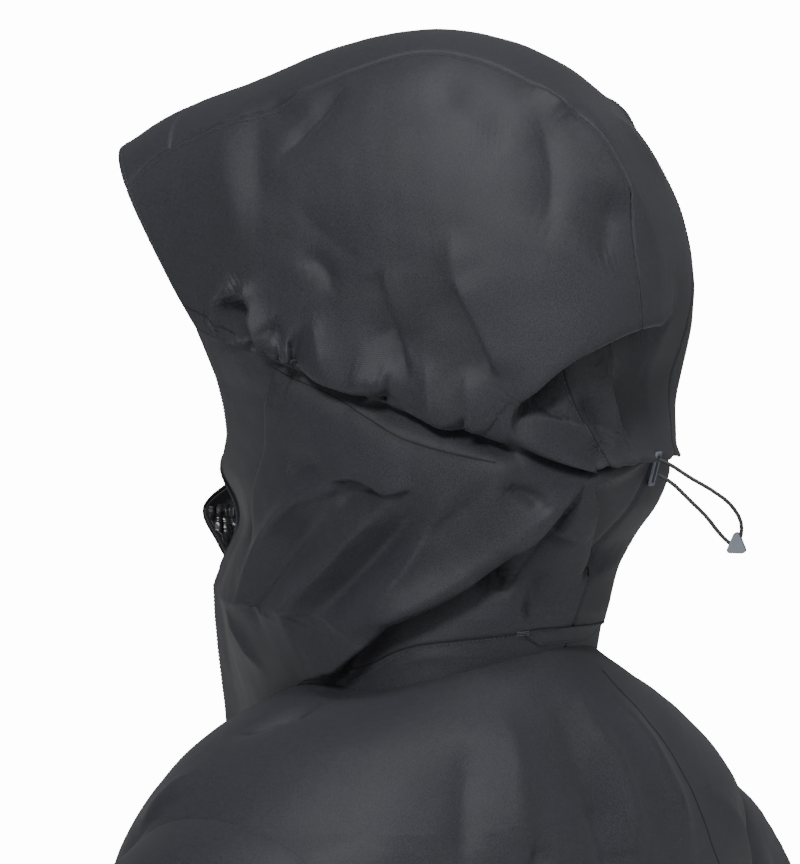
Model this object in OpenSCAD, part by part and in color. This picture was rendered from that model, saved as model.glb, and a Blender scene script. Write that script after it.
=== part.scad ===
// Hardshell jacket, worn shape: hood up and turned a little to the wearer's left.
// Frame: +Z up, -Y is the wearer's front, +X the wearer's left side.
// The origin is the centre of the neck opening, level with the back neck seam.

/* [Body] */
// Back length from the neck seam to the hem
back_length = 765; // [740:5:790]
// Half of the width across the chest
chest_half_w = 210; // [204:1:216]
// Slope of the front closure, as a lean away from the body
front_lean = 0.05; // [0.04:0.005:0.06]

/* [Hood] */
// How far the hood is turned to the wearer's left
hood_turn = 16; // [0:1:25]
// Height of the hood crown above the neck seam
crown_height = 370; // [360:1:380]
// How far the brim reaches in front of the neck axis
brim_reach = 206; // [200:1:212]

/* [Sleeves] */
// Radius of the cuff opening
cuff_radius = 47; // [42:1:52]
// Position of the elbow joint along the sleeve
elbow_at = 0.55; // [0.5:0.01:0.6]

/* [Closure] */
// Half of the gap between the front panels, where the zip shows
zip_gap = 9; // [8:0.5:11]
// Height of the slider above the neck seam
slider_rest = 2; // [-10:1:4]

/* [Fabric] */
// Thickness of the shell cloth
cloth = 1.2; // [1:0.1:1.6]
// Free space between parts that move past each other
play = 0.4; // [0.3:0.05:0.6]

/* [Hidden] */

shell_colour = [0.24, 0.24, 0.26];
lining_colour = [0.30, 0.30, 0.32];
zip_colour = [0.07, 0.07, 0.08];
hardware_colour = [0.13, 0.13, 0.14];
cord_colour = [0.20, 0.20, 0.21];
grip_colour = [0.62, 0.63, 0.65];
eps = 0.004;

// Half width and height of the side of the body, hem to neck
SIDE = [
    [chest_half_w + 6, 20 - back_length], [chest_half_w + 4, -640], [chest_half_w - 2, -520],
    [chest_half_w - 3, -400], [chest_half_w, -290], [chest_half_w + 4, -195],
    [chest_half_w + 4, -108], [164, -54], [90, -22]
];
// Depth and height of the middle of the back, hem to neck
BACK = [
    [128, -back_length], [130, -650], [122, -520], [126, -400], [138, -290],
    [148, -195], [142, -115], [118, -48], [92, 0]
];
// Height of the middle of the front, hem to neck; its depth follows the straight closure
front_z = [30 - back_length, -640, -520, -400, -290, -225, -175, -130, -95];
hem_front_y = 150;
FRONT = [for (z = front_z) [hem_front_y + front_lean * (z - front_z[0]), z]];
// Armhole, an ellipse in the angle and height of the body surface
arm_mid = 0.64;
arm_span = 0.145;
arm_wide = 36;
// Free edge between the armhole of the body and the root of the sleeve, in the same two units
root_in = 1.6;
root_up = 0.008;

// Middle line of the hood from the brim to the nape, as depth and height
MID = [
    [-brim_reach, 300], [-172, 322], [-118, 342], [-55, crown_height - 6], [8, crown_height],
    [72, crown_height - 23], [122, 298], [145, 235], [137, 165], [136, 113]
];
// Gather line along the side of the hood, from the face to the back
GATHER = [
    [88, -128, 190], [103, -78, 174], [109, -20, 157], [106, 42, 140], [90, 92, 125], [58, 122, 114]
];
// Fullness of the hood beyond a plain arch, outwards and upwards
FULL = [3, 6, 10, 13, 14, 12, 8, 4, 0];
LIFT = [10, 6, 3, 0, 0, 0, 0, 0, 0];
// Half width of the middle panel, from the brim to the nape, as a share of the way to the gather line
SEAM = [
    0.62, 0.54, 0.47, 0.43, 0.40, 0.33, 0.24, 0.20, 0.165, 0.165, 0.23, 0.285, 0.32, 0.34
];
// Share of the gather line that runs along the side; the rest crosses the back
side_share = 0.83;
// Edges of the opening from the collar up to the gather line, left and right halves
FACE_LEFT = [
    [5, -186.5, 20.8], [9, -176, 45], [16, -160, 72], [35, -148, 98], [60, -124, 126],
    [78, -121, 158], [88, -128, 190]
];
FACE_RIGHT = [
    [5, -186.5, 20.8], [8, -201, 45], [13, -208, 70], [34, -180, 94], [64, -142, 124],
    [80, -132, 158], [88, -128, 190]
];
// How far the collar narrows to the front, from the middle of the front round to the side
CHIN = [0, 0, 9, 16, 17, 14, 10, 6, 3, 1, 0];
// Middle of the back of the hood, from the collar up to the gather line
NAPE = [[0, 101, 20.8], [0, 108, 50], [0, 128, 84], [0, 136, 113]];
// Ring where the hood meets the collar
split_z = 20;
split_gap = 0.8;
ring_side = 100;
ring_front = 186.5;
ring_back = 101;

// Middle of the sleeve and its radius, shoulder to cuff
ARM = [
    [206, -6, -190], [252, -6, -220], [290, -4, -292], [312, -4, -378], [322, -16, -466],
    [328, -40, -552], [332, -66, -640]
];
ARM_R = [100, 86, 78, 71, 65, 58, cuff_radius];
sleeve_blend = 0.32;

// Zip
tooth_gap = 0.8;
tooth_w = 2.4;
tooth_t = 2.2;
tape_w = zip_gap - tooth_gap - tooth_w;
tape_t = 0.7;
tape_y = 3.9;
plate_t = 1;
plate_w = 8.5;
plate_h = 11;
zip_bottom = 46 - back_length;
zip_top = split_z - 1;
zip_tilt = atan(front_lean);

// Cords: the points of each route, first to last
adjuster_route = [
    [-38, 134, 113], [-40, 141, 110], [-44, 152, 103], [-49, 164, 96], [-54, 174, 88],
    [-57, 180, 78], [-57, 180, 68], [-54, 176, 64], [-50, 170, 70], [-47, 162, 80],
    [-43, 152, 90], [-39, 143, 99], [-37, 134, 104]
];
adjuster_d = 2.5;
pull_cord_route = [[0, -194, -4], [-2, -195, -18], [-5, -196, -34], [-9, -196, -50], [-13, -196, -66]];
pull_cord_d = 2.4;

// ---------- curves and cloth ----------
function spline(k, t) =
    let (n = len(k) - 1, x = min(max(t, 0), 1) * n, i = min(floor(x), n - 1), f = x - i)
    let (a = k[max(i - 1, 0)], b = k[i], c = k[i + 1], d = k[min(i + 2, n)])
    0.5 * (2 * b + (c - a) * f + (2 * a - 5 * b + 4 * c - d) * f * f
        + (3 * b - a - 3 * c + d) * f * f * f);
function mix(a, b, f) = a * (1 - f) + b * f;
function signed_pow(x, p) = sign(x) * pow(abs(x), p);
function unit(v) = v / max(norm(v), 1e-9);
function mirrored(p, side) = [side * p[0], p[1], p[2]];
function turned(p, a) = [p[0] * cos(a) - p[1] * sin(a), p[0] * sin(a) + p[1] * cos(a), p[2]];

// Point of the body at the angle a round it and the height t, hem 0 to neck 1
function chin(q) = let (d = max(spline(CHIN, 2 * q), 0)) [-0.64 * d, 0.77 * d, 0];
function torso(a, t) =
    let (sd = spline(SIDE, t), fb = sin(a) >= 0 ? spline(BACK, t) : spline(FRONT, t))
    let (n = 2.5 - 0.5 * min(max((t - 0.7) / 0.3, 0), 1), c = cos(a), s = sin(a))
    let (in = chin(acos(-s) / 180) * pow(max((t - 0.93) / 0.07, 0), 2))
    [
        sd[0] * signed_pow(c, 2 / n) + sign(c) * in[0],
        fb[0] * signed_pow(s, 2 / n) + in[1],
        sd[1] * c * c + fb[1] * s * s
    ];
function arm_half(t) =
    let (k = (t - arm_mid) / arm_span) abs(k) < 1 ? arm_wide * sqrt(1 - k * k) : 0;
// Angle, from the middle of the front, at which the body surface is x away from it
function edge_angle(t, x) =
    let (n = 2.5 - 0.5 * min(max((t - 0.7) / 0.3, 0), 1)) asin(pow(x / spline(SIDE, t)[0], n / 2));

// Point of the hood crown: w across it from -1 to 1, s from the brim 0 to the nape 1
function crown(w, along) =
    let (s = min(max(along, 0), 1), a = 90 * min(abs(w), 1))
    let (m = spline(MID, s), l = spline(GATHER, pow(s, 1.25)))
    let (n = 2.3 + 0.7 * pow(1 - min(s / 0.35, 1), 2), c = pow(cos(a), 2 / n), f = pow(sin(a), 2 / n))
    let (x = l[0] * f + spline(FULL, s) * sin(2 * a), g = 1 - c)
    [
        sign(w) * x, m[0] + (l[1] - m[0]) * g,
        m[1] + (l[2] - m[1]) * g + spline(LIFT, s) * sin(2 * a)
    ];
brim_end = 0.13;
hood_steps = concat([0, brim_end / 2], steps(brim_end, 1, 16));
seam_gap = 0.008;
function seam_w(s) = spline(SEAM, s);
function hood_point(w, s) = turned(crown(w, s), hood_turn);
// Gather line all the way: q from the face 0 to the middle of the back 1
function gather_line(q) =
    q < side_share ? crown(1, q / side_share) : crown(1 - (q - side_share) / (1 - side_share), 1);
function collar_ring(q, z) =
    let (a = 180 * min(max(q, 0), 1))
    let (mid = (ring_back - ring_front) / 2, half = (ring_back + ring_front) / 2)
    [ring_side * pow(sin(a), 0.9) + 5 * (1 - q), mid - half * cos(a), z] + chin(min(max(q, 0), 1));
// Lower hood, from the collar ring (v 0) to the gather line (v 1)
function cheek(round, v, side) =
    let (q = min(max(round, 0), 1))
    let (e = collar_ring(q, split_z + split_gap), g = gather_line(q))
    let (left = max(1 - v, 0), out = pow(left, 0.8) - left)
    let (e0 = collar_ring(0, split_z + split_gap), e1 = collar_ring(1, split_z + split_gap))
    let (face = spline(side > 0 ? FACE_LEFT : FACE_RIGHT, v), nape = spline(NAPE, v))
    let (df = face - mix(e0, gather_line(0), v), dn = nape - mix(e1, gather_line(1), v))
    let (p = mix(e, g, v) + out * chin(q) + df * pow(1 - q, 1.6) + dn * pow(q, 1.6))
    turned(mirrored(p, side), hood_turn * v);
// Collar below the ring: v 0 at the neck seam, 1 at the ring
function neck_seam(q) =
    torso(270 + edge_angle(1, 5) * (1 - q) + 180 * q, 1);
function collar(round, v, side) =
    let (q = min(max(round, 0), 1))
    mirrored(mix(neck_seam(q), collar_ring(q, split_z - split_gap), v), side);

function arm_frame(s) =
    let (c = spline(ARM, s), t = unit(spline(ARM, s + eps) - spline(ARM, s - eps)))
    let (out = unit(cross([0, 1, 0], -t))) [c, cross(-t, out), out];
function arm_ring(b, s) =
    let (f = arm_frame(s), r = spline(ARM_R, s)) f[0] + r * (cos(b) * f[1] + sin(b) * f[2]);
// Sleeve point: b round it (90 is the outer, upper side), s from the shoulder 0 to the cuff 1
function sleeve(b, s, side) =
    let (start = torso((arm_wide - root_in) * cos(b), arm_mid + (arm_span - root_up) * sin(b)))
    let (f = min(s / sleeve_blend, 1), end = arm_ring(b, max(s, sleeve_blend)))
    let (pull = 0.46 * norm(arm_ring(b, sleeve_blend) - start))
    let (run = unit(spline(ARM, sleeve_blend + eps) - spline(ARM, sleeve_blend)))
    let (reach = 62 + 40 * sin(b), out = unit([1, 0.25 * cos(b), -0.35 - 0.6 * max(-sin(b), 0)]))
    let (h0 = 2 * f * f * f - 3 * f * f + 1, h1 = f * f * f - 2 * f * f + f)
    let (h2 = 3 * f * f - 2 * f * f * f, h3 = f * f * f - f * f)
    mirrored(s >= sleeve_blend ? end : h0 * start + h1 * reach * out + h2 * end + h3 * run * pull, side);

// A closed sheet of cloth over the grid us by vs of the surface given by f.
// lift moves its outer face out along the normal, thick is its thickness inwards.
module sheet(f, us, vs, thick = cloth, lift = 0, flip = false) {
    nu = len(us);
    nv = len(vs);
    sgn = flip ? -1 : 1;
    normals = [
        for (v = vs)
            for (u = us)
                let (du = f(u + eps, v) - f(u - eps, v), dv = f(u, v + eps) - f(u, v - eps))
                sgn * unit(cross(du, dv))
    ];
    outer = [for (j = [0 : nv - 1]) for (i = [0 : nu - 1]) f(us[i], vs[j]) + lift * normals[j * nu + i]];
    inner = [for (k = [0 : nu * nv - 1]) outer[k] - thick * normals[k]];
    half = nu * nv;
    top = [
        for (j = [0 : nv - 2])
            for (i = [0 : nu - 2])
                let (a = j * nu + i, b = a + 1, c = b + nu, d = a + nu)
                each [[a, c, b], [a, d, c]]
    ];
    bottom = [for (t = top) [t[2] + half, t[1] + half, t[0] + half]];
    rim = concat(
        [for (i = [0 : nu - 1]) i],
        [for (j = [1 : nv - 1]) j * nu + nu - 1],
        [for (i = [1 : nu - 1]) nv * nu - 1 - i],
        [for (j = [1 : nv - 2]) (nv - 1 - j) * nu]
    );
    n = len(rim);
    walls = [
        for (k = [0 : n - 1])
            let (a = rim[k], b = rim[(k + 1) % n])
            each [[a, b, b + half], [a, b + half, a + half]]
    ];
    all_faces = concat(top, bottom, walls);
    polyhedron(
        points = concat(outer, inner),
        faces = flip ? [for (t = all_faces) [t[2], t[1], t[0]]] : all_faces
    );
}

// A closed tube of cloth: us runs right round, vs along it
module sleeve_tube(side, vs, sides, thick = cloth, lift = 0) {
    nv = len(vs);
    f = function (b, s) sleeve(b, s, side);
    bs = [for (i = [0 : sides - 1]) 360 * i / sides];
    normals = [
        for (s = vs)
            for (b = bs)
                let (db = f(b + 1, s) - f(b - 1, s), ds = f(b, s + eps) - f(b, max(s - eps, 0)))
                side * unit(cross(db, ds))
    ];
    outer = [
        for (j = [0 : nv - 1])
            for (i = [0 : sides - 1]) f(bs[i], vs[j]) + lift * normals[j * sides + i]
    ];
    inner = [for (k = [0 : sides * nv - 1]) outer[k] - thick * normals[k]];
    half = sides * nv;
    skin = [
        for (j = [0 : nv - 2])
            for (i = [0 : sides - 1])
                let (a = j * sides + i, b = j * sides + (i + 1) % sides, c = b + sides, d = a + sides)
                each [[a, b, c], [a, c, d]]
    ];
    lining = [for (t = skin) [t[2] + half, t[1] + half, t[0] + half]];
    last = (nv - 1) * sides;
    ends = [
        for (i = [0 : sides - 1])
            let (k = (i + 1) % sides)
            each [
                [i, i + half, k + half], [i, k + half, k],
                [last + i, last + k, last + k + half], [last + i, last + k + half, last + i + half]
            ]
    ];
    all_faces = concat(skin, lining, ends);
    polyhedron(
        points = concat(outer, inner),
        faces = side > 0 ? [for (t = all_faces) [t[2], t[1], t[0]]] : all_faces
    );
}

// A round tube along a route, given as a list of points
module cord_tube(route, d, rings, sides = 8) {
    at = function (i) spline(route, i / rings);
    run = function (i) unit(spline(route, (i + 0.02) / rings) - spline(route, (i - 0.02) / rings));
    side_of = function (i) unit(cross(run(i), [0.35, 0.2, 0.91]));
    points = [
        for (i = [0 : rings])
            let (t = run(i), a = side_of(i), b = cross(t, a))
            for (k = [0 : sides - 1])
                at(i) + d / 2 * (cos(360 * k / sides) * a + sin(360 * k / sides) * b)
    ];
    skin = [
        for (i = [0 : rings - 1])
            for (k = [0 : sides - 1])
                let (a = i * sides + k, b = i * sides + (k + 1) % sides)
                each [[a, b + sides, b], [a, a + sides, b + sides]]
    ];
    first = [for (k = [0 : sides - 1]) k];
    final = [for (k = [0 : sides - 1]) rings * sides + sides - 1 - k];
    polyhedron(points = points, faces = concat(skin, [first, final]));
}

function steps(a, b, n) = [for (i = [0 : n]) mix(a, b, i / n)];
// Heights of the body grid: closer together round the armhole
body_steps = concat(
    [for (i = [0 : 5]) (arm_mid - arm_span) * i / 6],
    [for (j = [0 : 8]) arm_mid - arm_span * cos(22.5 * j)],
    [for (k = [1 : 3]) mix(arm_mid + arm_span, 1, k / 3)]
);

// ---------- body ----------
module front(side) {
    f = function (u, t)
        let (a0 = 270 + edge_angle(t, zip_gap), a1 = 360 - arm_half(t))
        mirrored(torso(mix(a0, a1, u), t), side);
    color(shell_colour)
        sheet(f, concat([0, 0.04, 0.09], steps(0.16, 1, 7)), body_steps, flip = side < 0);
}

module back_panel() {
    f = function (u, t) torso(mix(arm_half(t), 180 - arm_half(t), u), t);
    color(shell_colour) sheet(f, steps(0, 1, 16), body_steps);
}

// The hem, turned up on the inside, all round from closure to closure
module hem_facing() {
    f = function (u, t)
        let (e = edge_angle(t, zip_gap + 4)) torso(mix(270 + e, 630 - e, u), t);
    color(lining_colour) sheet(f, steps(0, 1, 36), [0.008, 0.042], thick = 0.8, lift = -cloth - 3.2);
}

module collar_half(side) {
    f = function (q, v) collar(q, v, side);
    color(shell_colour)
        sheet(f, concat([0, 0.03, 0.07], steps(0.12, 0.997, 14)), steps(0.01, 1, 4), flip = side < 0);
}

// Bring a part drawn round the zip line, x across and z along, into place
module on_zip() {
    translate([0, -(hem_front_y + front_lean * (0 - front_z[0])), 0]) rotate([zip_tilt, 0, 0]) children();
}

module zip_tape(side) {
    h = (zip_top - zip_bottom) / cos(zip_tilt);
    color(zip_colour)
        on_zip() mirror([side < 0 ? 1 : 0, 0, 0]) translate([0, 0, zip_bottom / cos(zip_tilt)]) {
            translate([tooth_gap, -tooth_t / 2, 0]) cube([tooth_w, tooth_t / 2 + tape_y, h]);
            translate([tooth_gap + tooth_w - 0.2, tape_y - tape_t, 0]) cube([tape_w, tape_t, h]);
        }
}

module inner_placket() {
    h = (zip_top - zip_bottom) / cos(zip_tilt);
    color(lining_colour)
        on_zip() translate([-12, 7.6, zip_bottom / cos(zip_tilt)]) cube([24, 0.9, h]);
}

// The box that the right tape's pin drops into, at the bottom end
module zip_box() {
    color(hardware_colour)
        on_zip() translate([0, 0, (zip_bottom - 9) / cos(zip_tilt)]) linear_extrude(8.8)
            difference() {
                square([9, 4.6], center = true);
                translate([1.6, 0]) square([3, 1.6], center = true);
            }
}

front_plate_y = -(tooth_t / 2 + play + plate_t);
back_plate_y = tape_y + play;
pull_y = front_plate_y - 2;
pin_d = 1.2;
// Two plates joined by a wedge between the rows of teeth, with lugs for the pull
module zip_slider() {
    color(hardware_colour)
        on_zip() translate([0, 0, slider_rest]) {
            for (y = [front_plate_y, back_plate_y])
                translate([-plate_w / 2, y, -plate_h / 2]) cube([plate_w, plate_t, plate_h]);
            translate([-tooth_gap / 2, front_plate_y + 0.2, plate_h / 2 - 3])
                cube([tooth_gap, back_plate_y - front_plate_y, 3]);
            for (x = [-2.3, 2.3])
                translate([x - 0.6, pull_y - 1, 0.5]) cube([1.2, 3.2, 3]);
            translate([0, pull_y, 2])
                rotate([0, 90, 0]) cylinder(d = pin_d, h = 4.6, center = true, $fn = 24);
        }
}

// An eye round the pin, and a short tongue with a hole for the cord
module zip_pull() {
    color(hardware_colour)
        on_zip() translate([0, pull_y, slider_rest + 2]) difference() {
            union() {
                rotate([0, 90, 0]) cylinder(d = 3, h = 2.6, center = true, $fn = 32);
                rotate([90, 0, 0]) linear_extrude(1.2, center = true)
                    hull() {
                        translate([0, -1]) square([2.6, 0.6], center = true);
                        translate([0, -7.5]) circle(d = 3, $fn = 24);
                    }
            }
            rotate([0, 90, 0]) cylinder(d = pin_d + play, h = 8, center = true, $fn = 32);
            translate([0, 0, -7.2]) rotate([90, 0, 0]) cylinder(d = 1.2, h = 4, center = true, $fn = 24);
        }
}

module zip_pull_cord() {
    color(cord_colour) cord_tube(pull_cord_route, pull_cord_d, 12);
}

// The patch over the middle of the back neck seam, with slanted ends
module neck_tab() {
    f = function (u, v) torso(90 + (u - 0.5) * 2 * mix(22, 27, v), mix(0.972, 0.997, v));
    color(shell_colour) sheet(f, steps(0, 1, 8), steps(0, 1, 2), thick = 0.9, lift = 2);
}

// Strap inside the back neck to hang the jacket by
module hanger_loop() {
    color(lining_colour)
        translate([0, 86, -16]) rotate([90, 0, 0]) linear_extrude(1.2)
            difference() {
                scale([1, 0.45]) circle(r = 32, $fn = 48);
                scale([1, 0.38]) circle(r = 27, $fn = 48);
                translate([-40, 0]) square([80, 40]);
            }
}

// ---------- hand pockets ----------
pocket_a = 304;
pocket_low = 0.13;
pocket_high = 0.36;
pocket_proud = 1;
function pocket_low_point(side) = mirrored(torso(pocket_a, pocket_low), side);
function pocket_run(side) = mirrored(torso(pocket_a, pocket_high), side) - pocket_low_point(side);
function pocket_out(side) =
    let (across = mirrored(torso(pocket_a + 1, 0.25) - torso(pocket_a - 1, 0.25), side))
    side * unit(cross(across, pocket_run(side)));

// Place a part: its x, y and z run along three unit directions from a point
module place(x, y, z, at) {
    multmatrix([
        [x[0], y[0], z[0], at[0]],
        [x[1], y[1], z[1], at[1]],
        [x[2], y[2], z[2], at[2]],
        [0, 0, 0, 1]
    ]) children();
}

// x across the pocket zip, y outwards, z up along it
module on_pocket(side) {
    run = unit(pocket_run(side));
    out = pocket_out(side);
    place(cross(out, run), out, run, pocket_low_point(side)) children();
}

module pocket_zip(side) {
    color(zip_colour)
        on_pocket(side) translate([-4.5, pocket_proud, 0]) cube([9, 1.7, norm(pocket_run(side))]);
}

module pocket_slider(side) {
    color(hardware_colour)
        on_pocket(side)
            translate([-3, pocket_proud + 1.7 + play, norm(pocket_run(side)) - 12]) cube([6, 1.6, 9]);
}

module pocket_bag(side) {
    f = function (u, t)
        let (e = edge_angle(t, 34)) mirrored(torso(mix(270 + e, 322, u), t), side);
    color(lining_colour)
        sheet(f, steps(0, 1, 6), steps(0.06, 0.4, 5), thick = 0.6, lift = -cloth - 2.5, flip = side < 0);
}

// ---------- hood ----------
module hood_brim() {
    f = function (u, s) hood_point((2 * u - 1) * seam_w(s), s);
    color(shell_colour) sheet(f, steps(0, 1, 14), steps(0, brim_end, 2));
}

module brim_stiffener() {
    f = function (u, s) hood_point((2 * u - 1) * (seam_w(s) - 0.05), s);
    color(lining_colour)
        sheet(f, steps(0, 1, 14), steps(0.008, brim_end - 0.02, 2), thick = 1, lift = -cloth - 4.4);
}

module hood_center() {
    f = function (u, s) hood_point((2 * u - 1) * seam_w(s), s);
    color(shell_colour) sheet(f, steps(0, 1, 8), steps(brim_end + 0.002, 1, 16));
}

module hood_side(side) {
    f = function (u, s) hood_point(side * mix(seam_w(s) + seam_gap, 1, u), s);
    color(shell_colour) sheet(f, steps(0, 0.99, 8), hood_steps, flip = side < 0);
}

module hood_cheek(side) {
    f = function (q, v) cheek(q, v, side);
    color(shell_colour)
        sheet(f, concat([0, 0.03, 0.06], steps(0.1, 0.997, 14)), steps(0, 0.99, 7), flip = side < 0);
}

// Turned edge all round the face opening, on the inside
module face_facing() {
    band = 0.09;
    f = function (k, u)
        k < 0.3 ? cheek(band * u, 0.05 + 0.95 * k / 0.3, 1)
        : k < 0.7 ? hood_point(1 - 2 * (k - 0.3) / 0.4, band * u)
        : cheek(band * u, 0.05 + 0.95 * (1 - k) / 0.3, -1);
    color(lining_colour)
        sheet(f, steps(0, 1, 50), steps(0.03, 1, 2), thick = 0.8, lift = -cloth - 2.9, flip = true);
}

// Open ends of the zip, on the inside of the two front edges
module chin_zip(side) {
    f = function (u, v) cheek(0.045 * u, v, side);
    color(zip_colour)
        sheet(f, steps(0.06, 1, 1), steps(0.07, 0.36, 6), thick = 1, lift = -cloth - 4.4, flip = side < 0);
}

// Elastic cord inside the gather channel
module gather_cord(side) {
    route = [
        for (q = steps(0.1, 0.93, 20))
            let (g = gather_line(q), in = unit([g[0], g[1], 0]))
            turned(mirrored(g - 4.2 * in, side), hood_turn)
    ];
    color(cord_colour) cord_tube(route, 2.5, 40);
}

// Parts drawn about the middle of the hood's back: x across, y outwards, z up
adjuster_z = 108;
adjuster_y = 134;
module on_nape() {
    rotate([0, 0, hood_turn]) translate([0, adjuster_y, adjuster_z]) rotate([-14, 0, 0]) children();
}

module adjuster_binding() {
    color(grip_colour)
        on_nape() translate([0, 2.4, 0]) rotate([90, 0, 0]) linear_extrude(1.2)
            difference() {
                square([7.6, 21], center = true);
                square([4.4, 17], center = true);
            }
}

module adjuster_lock() {
    color(hardware_colour)
        on_nape() translate([0, -9.6, 2]) difference() {
            cylinder(d = 13, h = 15, center = true, $fn = 40);
            translate([0, 0, 2.6]) cylinder(d = 9.6, h = 15, center = true, $fn = 40);
            translate([0, 0, -1]) rotate([90, 0, 0]) cylinder(d = 4.6, h = 30, center = true, $fn = 24);
        }
}

module adjuster_button() {
    color(grip_colour)
        on_nape() translate([0, -9.6, 9.3]) cylinder(d = 9.6 - 2 * play, h = 9, center = true, $fn = 40);
}

module adjuster_cord() {
    color(cord_colour) cord_tube(adjuster_route, adjuster_d, 50);
}

// Moulded end that grips the loop of cord, hanging from it
module cord_end() {
    color(grip_colour)
        translate([-56, 178, 64]) rotate([0, 0, 116]) rotate([90, 0, 0]) linear_extrude(5.5, center = true)
            hull() {
                translate([0, 5]) circle(d = 4, $fn = 24);
                translate([-3.6, -3.6]) circle(d = 4, $fn = 24);
                translate([3.6, -3.6]) circle(d = 4, $fn = 24);
            }
}

// ---------- sleeves ----------
elbow_gap = 0.004;
cuff_start = 0.92;
module sleeve_upper(side) {
    color(shell_colour)
        sleeve_tube(
            side, concat([0.014, 0.05, 0.1, 0.16, 0.23], steps(sleeve_blend, elbow_at - elbow_gap, 3)), 20
        );
}

module sleeve_lower(side) {
    color(shell_colour) sleeve_tube(side, steps(elbow_at + elbow_gap, cuff_start, 5), 20);
}

module cuff(side) {
    color(shell_colour) sleeve_tube(side, [cuff_start, 0.96, 1], 20);
}

// Strap that closes the cuff, lying on its outer side
module cuff_tab(side) {
    f = function (u, s) sleeve(mix(35, 105, u), s, side);
    color(hardware_colour)
        sheet(f, steps(0, 1, 6), [0.945, 0.985], thick = 1.4, lift = 2 + play, flip = side < 0);
}

front(1);  // front_left
front(-1);  // front_right
back_panel();
hem_facing();
collar_half(1);  // collar_left
collar_half(-1);  // collar_right
inner_placket();
zip_tape(1);  // zip_tape_left
zip_tape(-1);  // zip_tape_right
zip_box();
zip_slider();
zip_pull();
zip_pull_cord();
neck_tab();
hanger_loop();
pocket_bag(1);  // pocket_bag_left
pocket_bag(-1);  // pocket_bag_right
pocket_zip(1);  // pocket_zip_left
pocket_zip(-1);  // pocket_zip_right
pocket_slider(1);  // pocket_slider_left
pocket_slider(-1);  // pocket_slider_right
hood_brim();
brim_stiffener();
hood_center();
hood_side(1);  // hood_side_left
hood_side(-1);  // hood_side_right
hood_cheek(1);  // hood_cheek_left
hood_cheek(-1);  // hood_cheek_right
face_facing();
chin_zip(1);  // chin_zip_left
chin_zip(-1);  // chin_zip_right
gather_cord(1);  // gather_cord_left
gather_cord(-1);  // gather_cord_right
adjuster_binding();
adjuster_lock();
adjuster_button();
adjuster_cord();
cord_end();
sleeve_upper(1);  // sleeve_upper_left
sleeve_upper(-1);  // sleeve_upper_right
sleeve_lower(1);  // sleeve_lower_left
sleeve_lower(-1);  // sleeve_lower_right
cuff(1);  // cuff_left
cuff(-1);  // cuff_right
cuff_tab(1);  // cuff_tab_left
cuff_tab(-1);  // cuff_tab_right
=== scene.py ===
"""Hardshell jacket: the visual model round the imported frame. Lengths are metres, angles degrees."""
import math

import bpy
import numpy as np
from mathutils import Matrix, Vector


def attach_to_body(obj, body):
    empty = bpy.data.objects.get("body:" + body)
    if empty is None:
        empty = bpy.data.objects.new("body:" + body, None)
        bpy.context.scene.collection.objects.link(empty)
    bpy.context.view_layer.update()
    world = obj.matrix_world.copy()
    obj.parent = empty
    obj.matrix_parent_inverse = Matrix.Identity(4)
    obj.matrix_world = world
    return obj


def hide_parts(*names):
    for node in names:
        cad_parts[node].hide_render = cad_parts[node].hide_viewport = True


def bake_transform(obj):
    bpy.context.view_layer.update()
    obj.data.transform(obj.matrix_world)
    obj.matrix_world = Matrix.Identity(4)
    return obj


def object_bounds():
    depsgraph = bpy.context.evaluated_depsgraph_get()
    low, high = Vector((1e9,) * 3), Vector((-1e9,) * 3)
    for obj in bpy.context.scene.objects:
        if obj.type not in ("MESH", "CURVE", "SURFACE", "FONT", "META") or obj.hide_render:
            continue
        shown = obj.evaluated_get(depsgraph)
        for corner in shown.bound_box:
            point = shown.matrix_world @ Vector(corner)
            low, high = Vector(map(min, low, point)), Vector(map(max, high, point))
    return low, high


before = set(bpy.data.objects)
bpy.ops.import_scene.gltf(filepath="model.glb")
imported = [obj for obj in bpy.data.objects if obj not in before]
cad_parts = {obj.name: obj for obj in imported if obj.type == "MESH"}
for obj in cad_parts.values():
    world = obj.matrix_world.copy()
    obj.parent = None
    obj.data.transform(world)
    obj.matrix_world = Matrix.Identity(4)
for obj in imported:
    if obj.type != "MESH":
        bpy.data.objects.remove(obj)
cad_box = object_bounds()
MM = 0.001

# ---------- camera: the photograph's viewing angle ----------
AZIMUTH, ELEVATION, DISTANCE = 131, 7, 2.2
LENS, SHIFT_RIGHT, SHIFT_UP = 147.8, -0.058, 0.235
az, el = math.radians(AZIMUTH), math.radians(ELEVATION)
CAM_BACK = Vector((math.sin(az) * math.cos(el), -math.cos(az) * math.cos(el), math.sin(el)))
CAM_RIGHT = Vector((math.cos(az), math.sin(az), 0))
CAM_UP = CAM_BACK.cross(CAM_RIGHT)
camera_data = bpy.data.cameras.new("photo_camera")
camera = bpy.data.objects.new("photo_camera", camera_data)
bpy.context.scene.collection.objects.link(camera)
camera.location = CAM_BACK * DISTANCE
camera.rotation_euler = Matrix((CAM_RIGHT, CAM_UP, CAM_BACK)).transposed().to_euler()
camera_data.sensor_width = 36
camera_data.lens = LENS
camera_data.shift_x = SHIFT_RIGHT
camera_data.shift_y = SHIFT_UP
bpy.context.scene.camera = camera


# ---------- materials ----------
def grey(level):
    return (level, level, level)


def shaded(colour, factor):
    return tuple(factor * c for c in colour)


def new_material(name, colour, roughness, metallic=0.0):
    m = bpy.data.materials.new(name)
    m.use_nodes = True
    shader = m.node_tree.nodes["Principled BSDF"]
    shader.inputs["Base Color"].default_value = (*colour, 1)
    shader.inputs["Roughness"].default_value = roughness
    shader.inputs["Metallic"].default_value = metallic
    return m, m.node_tree, shader


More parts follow.
